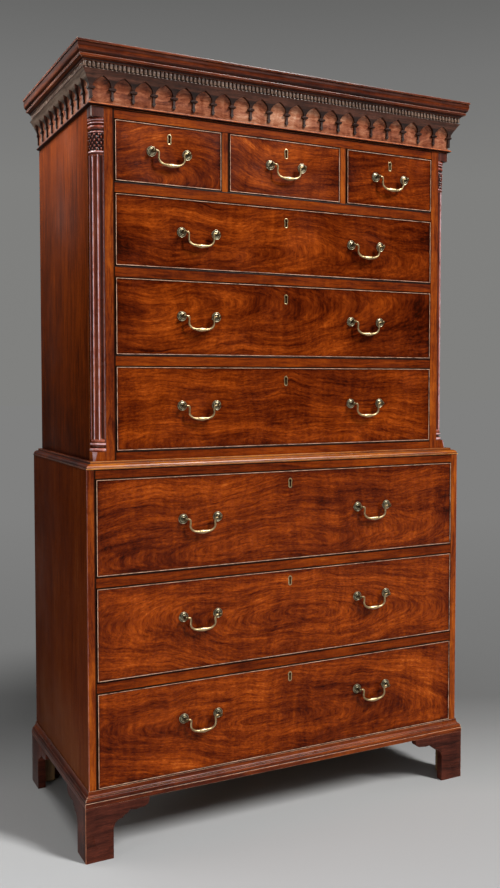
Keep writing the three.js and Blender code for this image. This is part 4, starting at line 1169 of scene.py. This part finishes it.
def fretwork():
    bm = start()
    pendants = fret_pendants()
    levels = [(fret_low.z + share * FRET_HEIGHT, width, fret_depth(share))
              for share, width in FRET_WIDTHS]
    for number, pendant in enumerate(pendants):
        rows = []
        for z, width, depth in levels:
            behind = cove_out(z) + JOINT
            # pendants are darkened, and the back edge of every cut face fully, as painted shade for the
            # shadow the sheet casts on the ground
            painted_shade = -0.75 if width < 0.5 else 0.0
            outer = [corner(bm, (x, y, z, painted_shade)) for x, y in pendant(width, behind + depth)]
            inner = [corner(bm, (x, y, z, -1)) for x, y in pendant(width, behind)]
            rows.append((outer, inner))
        last = len(rows[0][0]) - 1
        made = len(bm.faces)
        for level, ((o1, i1), (o2, i2)) in enumerate(zip(rows, rows[1:])):
            for edge in range(last):
                bm.faces.new((o1[edge], o1[edge + 1], o2[edge + 1], o2[edge]))
                bm.faces.new((i1[edge + 1], i1[edge], i2[edge], i2[edge + 1]))
            # where the wood is a whole bay wide, it joins its neighbours and has no side faces
            joined = levels[level][1] == 1 and levels[level + 1][1] == 1
            if not joined or number == 0:
                bm.faces.new((i1[0], o1[0], o2[0], i2[0]))
            if not joined or number == len(pendants) - 1:
                bm.faces.new((o1[last], i1[last], i2[last], o2[last]))
        for outer, inner in (rows[0], rows[-1]):
            for edge in range(last):
                bm.faces.new((outer[edge], inner[edge], inner[edge + 1], outer[edge + 1]))
        # faces on the returns that look sideways take the paler returns wood, a painted sheen
        if not SIDE_BAYS < number < SIDE_BAYS + FRONT_BAYS:
            bm.faces.ensure_lookup_table()
            for face in bm.faces[made:]:
                face.normal_update()
                face.material_index = 1 if abs(face.normal.x) > abs(face.normal.y) else 0
    bmesh.ops.remove_doubles(bm, verts=bm.verts, dist=0.001)
    return bm


fret = make("fretwork", fretwork(), WOODS["fret"], stands_for="fretwork", slot=CARVING)
fret.data.materials.append(WOODS["fret_deep"])

# Cornice: fillet, dentils and crown

FILLET_HEIGHT = 4
FILLET_OUT = 1.5
DENTIL_HEIGHT = 12
DENTIL_WIDTH = 5.9
DENTIL_PITCH = 10.1
DENTIL_GROUND = 17
DENTIL_REACH = 22
GROUND_STEP = 0.5
DENTIL_ROOT = 0.4
CROWN_START = DENTIL_REACH + 2
cornice_low, cornice_high = node_box("cornice")
dentil_low = cornice_low.z + FILLET_HEIGHT
crown_low = dentil_low + DENTIL_HEIGHT
fillet_reach, ground_reach = DENTIL_GROUND + FILLET_OUT, DENTIL_GROUND - GROUND_STEP
band_profile = [(FRIEZE_INNER, cornice_low.z), (fillet_reach, cornice_low.z),
                (fillet_reach, dentil_low - 1), (ground_reach, dentil_low),
                (ground_reach, crown_low), (FRIEZE_INNER, crown_low)]
moulding("dentil_ground", band_profile, UPPER_HALF, UPPER_FRONT, ("dentil", "moulding_deep"), (),
    radius=0.4)


def dentil_course():
    """Teeth across the front and along both sides, with one at each front corner."""
    bm = start()
    top = crown_low - HAIRLINE
    outer, inner = UPPER_HALF + DENTIL_REACH, UPPER_HALF + DENTIL_GROUND - DENTIL_ROOT
    front, root = UPPER_FRONT - DENTIL_REACH, UPPER_FRONT - DENTIL_GROUND + DENTIL_ROOT
    count = round((2 * outer - DENTIL_WIDTH) / DENTIL_PITCH)
    step = (2 * outer - DENTIL_WIDTH) / count
    for tooth in range(count + 1):
        left = tooth * step - outer
        brick((left, front, dentil_low), (left + DENTIL_WIDTH, root, top), bm=bm)
    side_count = int((BACK - front - DENTIL_WIDTH) / DENTIL_PITCH)
    for tooth in range(1, side_count + 1):
        y = front + tooth * DENTIL_PITCH
        for side, _ in SIDES:
            xs = sorted((side * inner, side * outer))
            brick((xs[0], y, dentil_low), (xs[1], y + DENTIL_WIDTH, top), bm=bm)
    return soften(bm, 0.5)


make("dentils", dentil_course(), WOODS["dentil"], slot=MAHOGANY)
CROWN_SHARES = [(0, 0), (0.56, 0.15, UPRIGHT), (0.56, 0.28), (0.5, 0.33), (0.9, 0.72, LEVEL),
                (0.87, 0.87), (1, 0.87), (1, 1)]
# painted shade on the crown, under the top fillet, at the foot of the cyma and in the cove: from and to
# a share of its height, and how dark
CROWN_SHADE_BANDS = [(0.01, 0.1, -0.8), (0.34, 0.44, -0.7), (0.64, 0.8, -0.6)]
crown_height = cornice_high.z - crown_low
crown_seat = node_box("top_cover")[0].z - JOINT
crown_profile = profile_from(CROWN_SHARES, FRIEZE_INNER, CROWN_START, cornice_high.x - UPPER_HALF,
    crown_low, cornice_high.z)[:-1]
crown_profile += [(0, cornice_high.z), (0, crown_seat), (FRIEZE_INNER, crown_seat)]
crown_profile = banded(crown_profile, [
    (crown_low + crown_height * low, crown_low + crown_height * high, mark)
    for low, high, mark in CROWN_SHADE_BANDS])
moulding("cornice_crown", crown_profile, UPPER_HALF, UPPER_FRONT, ("crown_across", "crown_deep"),
    "cornice", radius=0.5)

# Brass: roses, posts, bails and escutcheons. Profiles give radius, reach and wear.

POST_REACH = 15
POST_SPAN = 89
BAIL_DROP = 31.5
BAIL_RADIUS = 2.3
BAIL_SIDES = 16
PIN_REACH = 3
PIN_SHARE = 0.86
BORE_OFF = 0.6
# how far the axis of a bail lies below the top of its node
AXIS_DROP = 1.8
ROSE_PROFILE = [(12.0, -0.6, 0), (12.0, 0.7, 0), (11.7, 1.5, 1), (11.1, 1.8, 1), (10.4, 1.5, 0),
                (9.8, 1.0, -0.6), (9.2, 1.0, -0.8), (8.6, 1.4, 0), (7.8, 1.9, 0.6), (6.8, 2.1, 0.4),
                (5.9, 1.9, -0.2), (5.3, 1.8, -0.8), (4.9, 2.3, -0.5), (4.5, 3.2, 0.3), (3.8, 3.6, 0),
                (3.2, 3.6, -0.6), (0, 3.6, 0)]
POST_PROFILE = [(3.1, 3.0, -0.6), (2.9, 4.6, -0.3), (2.8, 6.6, 0), (3.1, 8.6, 0), (3.6, 9.6, 0.4),
                (3.3, 10.3, -0.5), (4.1, 11.4, 0.2), (4.9, 13.2, 0.5), (5.2, 15.0, 0.7),
                (4.9, 16.8, 0.6), (4.1, 18.3, 0.4), (2.7, 19.4, 0.5), (1.2, 19.9, 0.8), (0, 20, 1)]
BORE_PROFILE = [(2.9, 4.2, 0.5), (2.9, 5.3, 1), (2.3, 5.4, 0), (2.1, 5.2, -1), (2.1, 3.2, -1),
                (0, 3.2, -1)]
NUT_PROFILE = [(5.5, 0.05, 0), (5.5, 3.6, 0), (5.1, 4.0, 1), (2.4, 4.0, 0), (2.4, 6.5, 0), (0, 6.5, 0)]
# half a bail from the post to the middle: share of the half span, share of the drop, thickness
BAIL_STATIONS = [(0.77, 0, 1.05), (0.725, 0.06, 1.05), (0.705, 0.15, 1), (0.71, 0.3, 1),
                 (0.725, 0.45, 1), (0.72, 0.57, 1), (0.69, 0.68, 1.02), (0.64, 0.78, 1.08),
                 (0.56, 0.87, 1.15), (0.46, 0.935, 1.2), (0.36, 0.968, 1.32), (0.26, 0.985, 1.5),
                 (0.17, 0.992, 1.85), (0.12, 0.996, 2.0), (0.1, 0.997, 1.9), (0.085, 0.998, 2.1),
                 (0.04, 1, 2.16), (0, 1, 2.18)]


def smoothed(points, times):
    """Chaikin's corner cutting, with both ends kept."""
    for _ in range(times):
        cut = [points[0]]
        for a, b in zip(points, points[1:]):
            cut.append(tuple(p * 0.75 + q * 0.25 for p, q in zip(a, b)))
            cut.append(tuple(p * 0.25 + q * 0.75 for p, q in zip(a, b)))
        cut.append(points[-1])
        points = cut
    return points


def bail(node, x, y, z):
    """A swan-neck bail: a pin in each post, two bends, and a grip that swells in the middle."""
    half_span = POST_SPAN / 2
    half = [(half_span + PIN_REACH, 0, PIN_SHARE), (half_span - 1, 0, PIN_SHARE)]
    half += [(across * half_span, -down * BAIL_DROP, swell) for across, down, swell in BAIL_STATIONS]
    half = smoothed(half, 2)
    path = [(-a, b, swell) for a, b, swell in half] + half[-2::-1]
    rings = []
    for place, (across, down, swell) in enumerate(path):
        before = Vector(path[max(0, place - 1)][:2])
        after = Vector(path[min(len(path) - 1, place + 1)][:2])
        along = (after - before).normalized()
        wear = 0.5 if swell > 1.5 else 0.0
        ring = []
        for step in range(BAIL_SIDES):
            angle = 2 * math.pi * step / BAIL_SIDES
            up = BAIL_RADIUS * swell * math.cos(angle)
            out = BAIL_RADIUS * (1 + (swell - 1) * 0.75) * math.sin(angle)
            ring.append((x + across - along.y * up, y + out, z + down + along.x * up, wear))
        rings.append(ring)
    make(node, loft(rings), BRASS, body=node, stands_for=node, slot=GILT, sharp=60.0)


def oval(shares, width, height, count):
    """A closed outline from half an outline's shares, resampled to count points."""
    right = [(x * width / 2, z * height / 2) for x, z in shares]
    loop = right + [(-x, z) for x, z in right[-2:0:-1]]
    lengths = [0.0]
    closed = loop + loop[:1]
    for a, b in zip(closed, closed[1:]):
        lengths.append(lengths[-1] + math.dist(a, b))
    made = []
    for step in range(count):
        far = lengths[-1] * step / count
        place = next(n for n in range(len(loop)) if lengths[n + 1] >= far)
        share = (far - lengths[place]) / (lengths[place + 1] - lengths[place])
        a, b = closed[place], closed[place + 1]
        made.append((a[0] + (b[0] - a[0]) * share, a[1] + (b[1] - a[1]) * share))
    return made


ESCUTCHEON_SHARES = [(0, 1), (0.3, 0.985), (0.58, 0.92), (0.82, 0.8), (0.96, 0.65), (1, 0.5),
                     (0.97, 0.3), (0.86, 0.1), (0.83, -0.1), (0.88, -0.4), (0.88, -0.65),
                     (0.76, -0.82), (0.55, -0.93), (0.3, -0.985), (0, -1)]
KEYHOLE_SHARES = [(0, 1), (0.4, 0.97), (0.75, 0.88), (0.97, 0.74), (1, 0.6), (0.92, 0.46),
                  (0.76, 0.34), (0.66, 0.26), (0.68, -0.2), (0.74, -0.8), (0.68, -0.95), (0.4, -1),
                  (0, -1)]
# its section: share of the way from the outer edge to the keyhole, reach and wear
ESCUTCHEON_SECTION = [(0, -0.8, 0), (0, 0.35, 0), (0.08, 0.65, 1), (0.3, 0.8, 0.8), (0.7, 0.7, 0.3),
                      (0.94, 0.5, 0.6), (1, 0.2, -0.6), (1, -3, -1)]
ESCUTCHEON = (11, 25)
KEYHOLE = (6.2, 19)
ESCUTCHEON_POINTS = 56
KEYHOLE_POINTS = 36


def escutcheon(name, x, y, z, body):
    outer = oval(ESCUTCHEON_SHARES, *ESCUTCHEON, ESCUTCHEON_POINTS)
    inner = oval(KEYHOLE_SHARES, *KEYHOLE, ESCUTCHEON_POINTS)
    rings = []
    for share, out, wear in ESCUTCHEON_SECTION:
        rings.append([(x + ox + (ix - ox) * share, y - out, z + oz + (iz - oz) * share, wear)
                      for (ox, oz), (ix, iz) in zip(outer, inner)])
    make(name, loft(rings, closed=True), BRASS, body=body, slot=GILT)


def handle(node, x, face, back, body):
    """A bail with its two posts, each with a rose in front and a square nut behind the drawer front."""
    z = node_box(node)[1].z - AXIS_DROP
    part = node.replace("bail", "rose")
    for side, mark in ((-1, "a"), (1, "b")):
        post_x = x + side * POST_SPAN / 2
        rose = turned(ROSE_PROFILE, (post_x, face, z), (0, -1, 0), steps=36)
        make(f"{part}_{mark}", rose, ROSE_BRASS, body=body, slot=GILT, sharp=60.0)
        post = turned(POST_PROFILE, (post_x, face, z), (0, -1, 0), steps=24)
        # the head of the post has a dark hole with a small collar for the pin of the bail
        turned(BORE_PROFILE, (post_x - side * BORE_OFF, face - POST_REACH, z), (-side, 0, 0),
            steps=16, bm=post)
        make(f"{part}_{mark}_post", post, POST_BRASS, body=body, slot=GILT, sharp=60.0)
        nut = turned(NUT_PROFILE, (post_x, back, z), (0, 1, 0), steps=4)
        make(f"{part}_{mark}_nut", nut, BRASS, body=body, slot=GILT, sharp=20.0)
    bail(node, x, face - POST_REACH, z)


# Drawers

COCKBEAD = 3
COCKBEAD_DEPTH = 10
FRONT_THICKNESS = 22
TAIL = 11
TAIL_PITCH = 42
TAIL_ROOT_SHARE, TAIL_END_SHARE = 0.31, 0.4
# how far a keyhole lies below the top of its front, and two bails to either side of it
KEYHOLE_DROPS = {"lower_drawer_1": 31, "lower_drawer_2": 27.4, "lower_drawer_3": 28.7,
                 "upper_drawer_1": 36, "upper_drawer_2": 33.5, "upper_drawer_3": 33}
SMALL_KEYHOLE_DROP = 31.5
LOWER_OFFSET = 243
UPPER_OFFSET = 235

# Each front's veneer: the heart of its figure (x, z, flatness), its tilt, and its lighter and darker
# parts (x, z, half sizes, tilt, strength)
FIGURES = {
    "lower_drawer_1": ((-60, 700, 0.1), 3, [
        (-400, 835, 130, 50, 0, 0.16), (-455, 715, 60, 35, 0, -0.16), (-380, 680, 90, 22, 8, 0.12),
        (-12, 719, 50, 26, 0, 0.2), (-110, 770, 120, 30, 5, -0.08), (90, 845, 150, 22, 0, 0.1),
        (330, 800, 120, 45, -4, 0.06), (300, 700, 80, 25, 0, 0.1), (470, 760, 40, 90, 0, -0.12)]),
    "lower_drawer_2": ((40, 500, 0.16), -4, [
        (-350, 560, 130, 60, 8, 0.12), (-470, 580, 50, 30, 20, -0.14), (-150, 500, 60, 25, -25, -0.12),
        (-80, 545, 70, 35, 0, 0.14), (30, 488, 70, 12, 3, -0.16), (-60, 455, 110, 30, 0, 0.1),
        (250, 560, 150, 40, -5, -0.05), (470, 520, 45, 90, 0, -0.12)]),
    "lower_drawer_3": ((-60, 250, 0.13), -5, [
        (-80, 325, 110, 45, 5, 0.14), (-440, 215, 90, 40, 10, -0.1), (180, 350, 110, 25, -10, -0.08),
        (-30, 215, 120, 35, 0, 0.07), (440, 290, 50, 50, -5, 0.1), (40, 265, 30, 40, 60, -0.12),
        (480, 200, 40, 60, 0, -0.1)]),
    "upper_drawer_1": ((-330, 1400, 0.09), 2, [
        (60, 1445, 220, 45, -6, 0.12), (-400, 1395, 60, 40, 0, -0.14), (-180, 1500, 90, 25, 0, -0.12),
        (-330, 1440, 60, 30, 0, 0.06), (420, 1480, 50, 60, 0, -0.12), (250, 1500, 120, 20, 0, -0.06)]),
    "upper_drawer_2": ((-430, 1260, 0.14), 3, [
        (-330, 1215, 90, 35, 10, 0.12), (-60, 1290, 120, 30, -5, 0.08), (0, 1200, 90, 25, 0, -0.1),
        (150, 1255, 140, 35, 0, 0.08), (400, 1300, 70, 30, 0, -0.14)]),
    "upper_drawer_3": ((60, 940, 0.08), -2, [
        (-150, 1085, 220, 22, 0, 0.12), (-380, 960, 90, 30, 0, 0.1), (150, 1050, 150, 30, -3, -0.08),
        (100, 970, 120, 25, 0, -0.1), (390, 960, 90, 30, 0, 0.12), (-420, 1080, 50, 40, 0, -0.06)]),
    "small_drawer_left": ((-440, 1540, 0.2), 10, [
        (-300, 1590, 90, 35, 0, 0.12), (-200, 1660, 50, 30, 0, -0.12), (-420, 1670, 40, 30, 0, -0.08)]),
    "small_drawer_middle": ((60, 1690, 0.25), -5, [
        (20, 1640, 90, 35, 0, 0.08), (-120, 1575, 50, 20, -20, -0.14), (110, 1590, 50, 25, 10, -0.1)]),
    "small_drawer_right": ((300, 1500, 0.2), 8, [
        (280, 1600, 70, 30, 10, 0.1), (400, 1580, 60, 25, 0, -0.12), (220, 1670, 50, 20, 0, -0.08)]),
}
# Reach, depth behind the face and wear of the bead: a round nose between two quirks darkened as painted
# shade
COCKBEAD_PROFILE = [(0.6, COCKBEAD_DEPTH, -1), (0.5, 0.4, -1), (0.55, -0.8, -1), (0.85, -1.45, -0.7),
                    (1.2, -1.85, 0.9), (1.65, -2.0, 1), (2.1, -1.85, 0.9), (2.55, -1.3, -0.1),
                    (2.95, -0.5, -0.8), (COCKBEAD, 0.0, -1), (COCKBEAD, COCKBEAD_DEPTH, -1)]


def cockbead(name, x0, x1, z0, z1, face, body):
    """A small rounded bead let in round the front, mitred at its corners."""
    rings = []
    for sx, sz in ((0, 0), (1, 0), (1, 1), (0, 1)):
        rings.append([(x1 - u if sx else x0 + u, face + y, z1 - u if sz else z0 + u, wear)
                      for u, y, wear in COCKBEAD_PROFILE])
    make(name, loft(rings, closed=True), WOODS["cockbead"], body=body, slot=VENEER)


def carved_out(bm, cutter):
    """The first mesh without the second, both in millimetres."""
    meshes = []
    for part in (bm, cutter):
        bmesh.ops.recalc_face_normals(part, faces=part.faces)
        mesh = bpy.data.meshes.new("joinery")
        part.to_mesh(mesh)
        part.free()
        meshes.append(mesh)
    whole, tool = (bpy.data.objects.new("joinery", mesh) for mesh in meshes)
    for thing in (whole, tool):
        scene.collection.objects.link(thing)
    modifier = whole.modifiers.new("joinery", "BOOLEAN")
    modifier.object = tool
    modifier.operation = "DIFFERENCE"
    modifier.solver = "EXACT"
    bpy.context.view_layer.update()
    cut = whole.evaluated_get(bpy.context.evaluated_depsgraph_get()).to_mesh()
    made = start()
    made.from_mesh(cut)
    for name in (ARRIS, BOARD):
        if not made.verts.layers.float.get(name):
            made.verts.layers.float.new(name)
    for thing, mesh in zip((whole, tool), meshes):
        bpy.data.objects.remove(thing)
        bpy.data.meshes.remove(mesh)
    return made


def tails(z0, z1):
    """The dovetails of a drawer side: middle height, root half and end half of each."""
    count = max(3, round((z1 - z0) / TAIL_PITCH))
    pitch = (z1 - z0) / count
    return [(z0 + (place + 0.5) * pitch, pitch * TAIL_ROOT_SHARE, pitch * TAIL_END_SHARE)
            for place in range(count)]


def drawer_front(name, low, high, face, box, keyhole):
    """A veneered face inside the cockbead, a ground with sockets for the tails of the sides, and the
    escutcheon."""
    x0, x1, z0, z1 = low.x, high.x, low.z, high.z
    centre, keyhole_z = keyhole
    back = face + FRONT_THICKNESS
    hole = [(centre + x, keyhole_z + z) for x, z in oval(KEYHOLE_SHARES, *KEYHOLE, KEYHOLE_POINTS)]

    def rectangle(inset):
        return [(x0 + inset, z0 + inset), (x1 - inset, z0 + inset), (x1 - inset, z1 - inset),
                (x0 + inset, z1 - inset)]

    make(f"{name}_veneer", pierced(rectangle(COCKBEAD), hole, face, face + COCKBEAD_DEPTH),
        FRONT_WOODS[name], body=name, stands_for=f"{name}_front", slot=VENEER)
    ground = pierced(rectangle(0), hole, face + COCKBEAD_DEPTH, back)
    sockets = start()
    side_inner = box[0].x + TAIL
    for place, root, end in tails(box[0].z, box[1].z):
        outline = [(back + 1, place - root), (back - TAIL, place - end), (back - TAIL, place + end),
                   (back + 1, place + root)]
        for first, last in ((x0 - 1, side_inner), (2 * centre - side_inner, x1 + 1)):
            prism(outline, first, last, in_side, bm=sockets)
    make(f"{name}_ground", carved_out(ground, sockets), WOODS["case_across"], body=name, slot=VENEER)
    cockbead(f"{name}_cockbead", x0, x1, z0, z1, face, name)
    escutcheon(f"{name}_escutcheon", centre, face, keyhole_z, name)


LOCK_HALF, LOCK_BELOW, LOCK_ABOVE, LOCK_PLATE = 30, 24, 16, 2.2
WORKS_START, WORKS_HALF, WORKS_REACH = 13, 2.2, 8
PIN_PLACES = [(x, z) for x in (-23, 23) for z in (-17, 9)]
PIN_PROFILE = [(3.2, 0, 0), (3.0, 0.7, 1), (1.8, 1.1, 1), (0, 1.2, 1)]


def drawer_lock(name, face, keyhole):
    """The lock, let into the back of the front, with its works behind the keyhole."""
    x, z = keyhole
    back = face + FRONT_THICKNESS
    board(f"{name}_lock_works", (x - WORKS_HALF, face + WORKS_START, z - WORKS_REACH),
        (x + WORKS_HALF, back, z + WORKS_REACH), IRON, ease=0.3, body=name)
    board(f"{name}_lock", (x - LOCK_HALF, back + HAIRLINE / 2, z - LOCK_BELOW),
        (x + LOCK_HALF, back + LOCK_PLATE, z + LOCK_ABOVE), STEEL, ease=0.5, body=name)
    pins = start()
    for pin_x, pin_z in PIN_PLACES:
        turned(PIN_PROFILE, (x + pin_x, back + LOCK_PLATE, z + pin_z), (0, 1, 0), steps=12, bm=pins)
    make(f"{name}_lock_pins", pins, IRON, body=name)


SLIP_WIDTH = 7
SLIP_LOW, SLIP_HIGH = 13.1, 19
BOTTOM_LOW, BOTTOM_BOARDS, BOTTOM_THICKNESS = 6, 3, 7
BACK_DROP = 5
# the play between a tail and its socket, sideways and at its end, and round a slip and the bottom
TAIL_PLAY, TAIL_END_PLAY = 0.1, 0.2
SLIP_PLAY, SLIP_FRONT_PLAY, SLIP_BACK_PLAY = 0.05, 0.6, 0.4
BOTTOM_FRONT_PLAY, BOTTOM_BACK_PLAY = 0.5, 0.2


def drawer_box(name, front_back, low, high):
    """Two dovetailed sides with their slips, a back, and a bottom in three boards, all of oak."""
    front = front_back + JOINT
    tail_end = front_back - TAIL + TAIL_END_PLAY
    oak = {"body": name, "slot": OAK}
    for side, mark in SIDES:
        outer_x = low.x if side < 0 else high.x
        xs = sorted((outer_x, outer_x - side * TAIL))
        outline = [(high.y, low.z), (high.y, high.z), (front, high.z)]
        for place, root, end in reversed(tails(low.z, high.z)):
            root, end = root - TAIL_PLAY, end - TAIL_PLAY
            outline += [(front, place + root), (tail_end, place + end), (tail_end, place - end),
                        (front, place - root)]
        outline.append((front, low.z))
        make(f"{name}_side_{mark}", soften(prism(outline, *xs, in_side), 0.6, limit=60.0),
            WOODS["oak_deep"], stands_for=f"{name}_box" if side < 0 else (), **oak)
        xs = sorted((outer_x - side * (TAIL + SLIP_PLAY), outer_x - side * (TAIL + SLIP_WIDTH)))
        board(f"{name}_slip_{mark}", (xs[0], front_back + SLIP_FRONT_PLAY, low.z + SLIP_LOW),
            (xs[1], high.y - TAIL - SLIP_BACK_PLAY, low.z + SLIP_HIGH), WOODS["oak_deep"], ease=1.6,
            **oak)
    left, right = low.x + TAIL + HAIRLINE, high.x - TAIL - HAIRLINE
    board(f"{name}_back", (left, high.y - TAIL, low.z), (right, high.y - HAIRLINE, high.z - BACK_DROP),
        WOODS["oak_across"], ease=0.8, **oak)
    bottom_front, bottom_low = front_back + BOTTOM_FRONT_PLAY, low.z + BOTTOM_LOW
    depth = (high.y - TAIL - BOTTOM_BACK_PLAY - bottom_front) / BOTTOM_BOARDS
    for strip in range(BOTTOM_BOARDS):
        first = bottom_front + strip * depth
        board(f"{name}_bottom_{strip + 1}", (left, first, bottom_low),
            (right, first + depth - JOINT, bottom_low + BOTTOM_THICKNESS), WOODS["oak_across"],
            ease=0.3, **oak)


def drawer(name, offset):
    """A drawer, made from front to back, with one bail in the middle or two at the offset from it."""
    low, high = node_box(f"{name}_front")
    box = node_box(f"{name}_box")
    face = LOWER_FRONT if name.startswith("lower") else UPPER_FRONT
    back = face + FRONT_THICKNESS
    centre = (low.x + high.x) / 2
    keyhole = (centre, high.z - KEYHOLE_DROPS.get(name, SMALL_KEYHOLE_DROP))
    drawer_front(name, low, high, face, box, keyhole)
    drawer_lock(name, face, keyhole)
    drawer_box(name, back, *box)
    handles = [(-offset, "bail_left"), (offset, "bail_right")] if offset else [(0, "bail")]
    for place, mark in handles:
        handle(f"{name}_{mark}", centre + place, face, back, name)


# Each drawer, with how far its two bails are from its middle. A small drawer has one bail.
DRAWERS = []
for place in (1, 2, 3):
    DRAWERS.append((f"lower_drawer_{place}", LOWER_OFFSET))
    DRAWERS.append((f"upper_drawer_{place}", UPPER_OFFSET))
for mark in ("left", "middle", "right"):
    DRAWERS.append((f"small_drawer_{mark}", 0))

# How glossy a front is, and how much lighter or darker than the others: partly each veneer's own tone,
# partly painted light evening out how the lamps fall on the fronts
POLISHES = {"small_drawer_left": 0.2, "small_drawer_middle": 0.2}
FRONT_POLISH = 0.08
SHADES = {"small_drawer_left": 0.05, "small_drawer_middle": 0.1, "small_drawer_right": -0.04,
          "lower_drawer_2": 0.06, "lower_drawer_3": 0.09}
# Painted shadow round the roses and under the grip, where the bail and its posts shade the front: x and
# z from the axis of the bail, half sizes, tilt and strength
HANDLE_PAINTED_SHADOWS = [(-POST_SPAN / 2, 0, 25, 23, 0, -0.2), (POST_SPAN / 2, 0, 25, 23, 0, -0.2),
                 (-POST_SPAN * 0.36, -17, 14, 20, 0, -0.3), (POST_SPAN * 0.28, -15, 14, 18, 0, -0.25),
                 (-3, -36, 50, 13, 0, -0.3)]
END_SHADE = (90, 1.2, -0.14)
RIM = (20, 0.16)
FRONT_WOODS = {}
for number, (name, offset) in enumerate(DRAWERS):
    low, high = node_box(f"{name}_front")
    heart, tilt, patches = FIGURES[name]
    middle = (low.x + high.x) / 2
    axis = node_box(f"{name}_bail_left" if offset else f"{name}_bail")[1].z - AXIS_DROP
    half_height = (high.z - low.z) / 2
    reach, rise, strength = END_SHADE
    patches = patches + [(x, low.z + half_height, reach, half_height * rise, 0, strength)
                         for x in (low.x, high.x)]
    for centre in (middle - offset, middle + offset) if offset else (middle,):
        patches = patches + [(centre + x, axis + z, *rest) for x, z, *rest in HANDLE_PAINTED_SHADOWS]
    FRONT_WOODS[name] = mahogany(f"figured_mahogany_{name}", "X", FRONT_TONES, tilt=tilt, heart=heart,
        warp=0.05, seed=40.0 + 3.7 * number, patches=patches, broad=0.95, streak=1.3, mottle=0.45,
        fleck=0.8, lines=0.13, polish=POLISHES.get(name, FRONT_POLISH), gloss=0.2,
        rim=((low.x, low.z), (high.x, high.z), *RIM), shade=SHADES.get(name, 0.0))
for name, offset in DRAWERS:
    drawer(name, offset)

# Floor: pale matt grey paper, with painted light and shade in its tone: paler near the camera, a darker
# band further off, and blending with the wall far away

FLOOR_REACH = 40
# the way that the camera looks, level with the floor, and how near and far the tones run along it
FLOOR_WAY = (0.4515, 0.8922, 0)
FLOOR_RUN = (-1.0, 5.0)
BLEND_RING = (0.8, 1.7)
FLOOR_STOPS = [(0, "#b5b6b7"), (0.15, "#b2b2b1"), (0.19, "#a2a2a1"), (0.235, "#8a8a89"),
               (0.28, "#757574"), (0.4, "#777776"), (0.66, "#7c7c7b"), (1, "#80807f")]

floor_material, tree = new_material("pale_grey_studio_floor")
places = add(tree, "TexCoord").outputs["Object"]
depth = add(tree, "VectorMath", {0: places, 1: FLOOR_WAY}, operation="DOT_PRODUCT").outputs["Value"]
falling = add(tree, "MapRange", {"Value": depth, 1: FLOOR_RUN[0], 2: FLOOR_RUN[1], 3: 0.0, 4: 1.0})
tone = add(tree, "ValToRGB", {"Fac": falling}, stops=FLOOR_STOPS)
far = add(tree, "VectorMath", {0: places}, operation="LENGTH").outputs["Value"]
blend = add(tree, "MapRange", {"Value": far, 1: BLEND_RING[0], 2: BLEND_RING[1], 3: 0.0, 4: 1.0},
    interpolation_type="SMOOTHSTEP")
matt = add(tree, "BsdfDiffuse", {"Color": tone})
glow = add(tree, "Emission", {"Color": tone, "Strength": 1.0})
seen = add(tree, "Math", {0: blend, 1: add(tree, "LightPath").outputs["Is Camera Ray"]},
    operation="MULTIPLY")
add(tree, "OutputMaterial", {"Surface": add(tree, "MixShader", {0: seen, 1: matt, 2: glow})})
floor_mesh = bpy.data.meshes.new("studio_floor")
floor_mesh.from_pydata([(x * FLOOR_REACH, y * FLOOR_REACH, 0)
                        for x, y in ((-1, -1), (1, -1), (1, 1), (-1, 1))], [], [(0, 1, 2, 3)])
floor_mesh.materials.append(floor_material)
floor = bpy.data.objects.new("studio_floor", floor_mesh)
scene.collection.objects.link(floor)

# Background: a grey wall that darkens upwards, as painted shade

AMBIENT = 0.12
ROOM_SEEN = 0.09
WALL_STOPS = [(0, "#80807e"), (0.2, "#7f7f7d"), (0.3, "#747473"), (0.38, "#646463"), (1, "#5c5c5b")]
world = bpy.data.worlds.new("studio")
world.use_nodes = True
tree = world.node_tree
tree.nodes.clear()
direction = add(tree, "SeparateXYZ", {0: add(tree, "TexCoord").outputs["Generated"]})
wall = add(tree, "ValToRGB", {"Fac": direction.outputs["Z"]}, stops=WALL_STOPS)
ray = add(tree, "LightPath").outputs
shown = add(tree, "Background", {"Color": wall, "Strength": 1.0})
# polished wood and brass see a dimmer room than the one that lights them
dimmed = add(tree, "MapRange", {"Value": ray["Is Glossy Ray"], 3: AMBIENT, 4: ROOM_SEEN})
ambient = add(tree, "Background", {"Color": linear("#d8d8d8"), "Strength": dimmed})
mixed = add(tree, "MixShader", {0: ray["Is Camera Ray"], 1: ambient, 2: shown})
add(tree, "OutputWorld", {"Surface": mixed})
scene.world = world

# Lamps: place, the point that each is aimed at, width and height in metres, and power in watts

SOFTBOXES = {
    "key_softbox": ((4.2, -6.6, 8.2), (0, -0.2, 1.0), (1.6, 4.4), 1430),
    "fill_softbox": ((-1.5, -3.6, 3.4), (0, -0.2, 0.9), (1.8, 1.8), 16),
    "top_left_softbox": ((-0.88, 0.1, 2.25), (-0.45, 0.1, 1.5), (0.4, 0.6), 12),
    "rear_left_softbox": ((-1.5, 2.9, 2.5), (-0.45, 0.0, 1.6), (0.7, 1.0), 2.0),
    "low_left_reflector": ((-1.5, -0.6, 0.25), (-0.5, 0.0, 0.2), (0.4, 0.3), 3.6),
}
for name, (place, target, size, power) in SOFTBOXES.items():
    lamp = bpy.data.lights.new(name, "AREA")
    lamp.shape = "RECTANGLE"
    lamp.size, lamp.size_y = size
    lamp.energy = power
    holder = bpy.data.objects.new(name, lamp)
    holder.location = place
    holder.rotation_euler = (Vector(target) - Vector(place)).to_track_quat("-Z", "Y").to_euler()
    scene.collection.objects.link(holder)

scene.view_settings.view_transform = "Standard"

low, high = cad_bounds
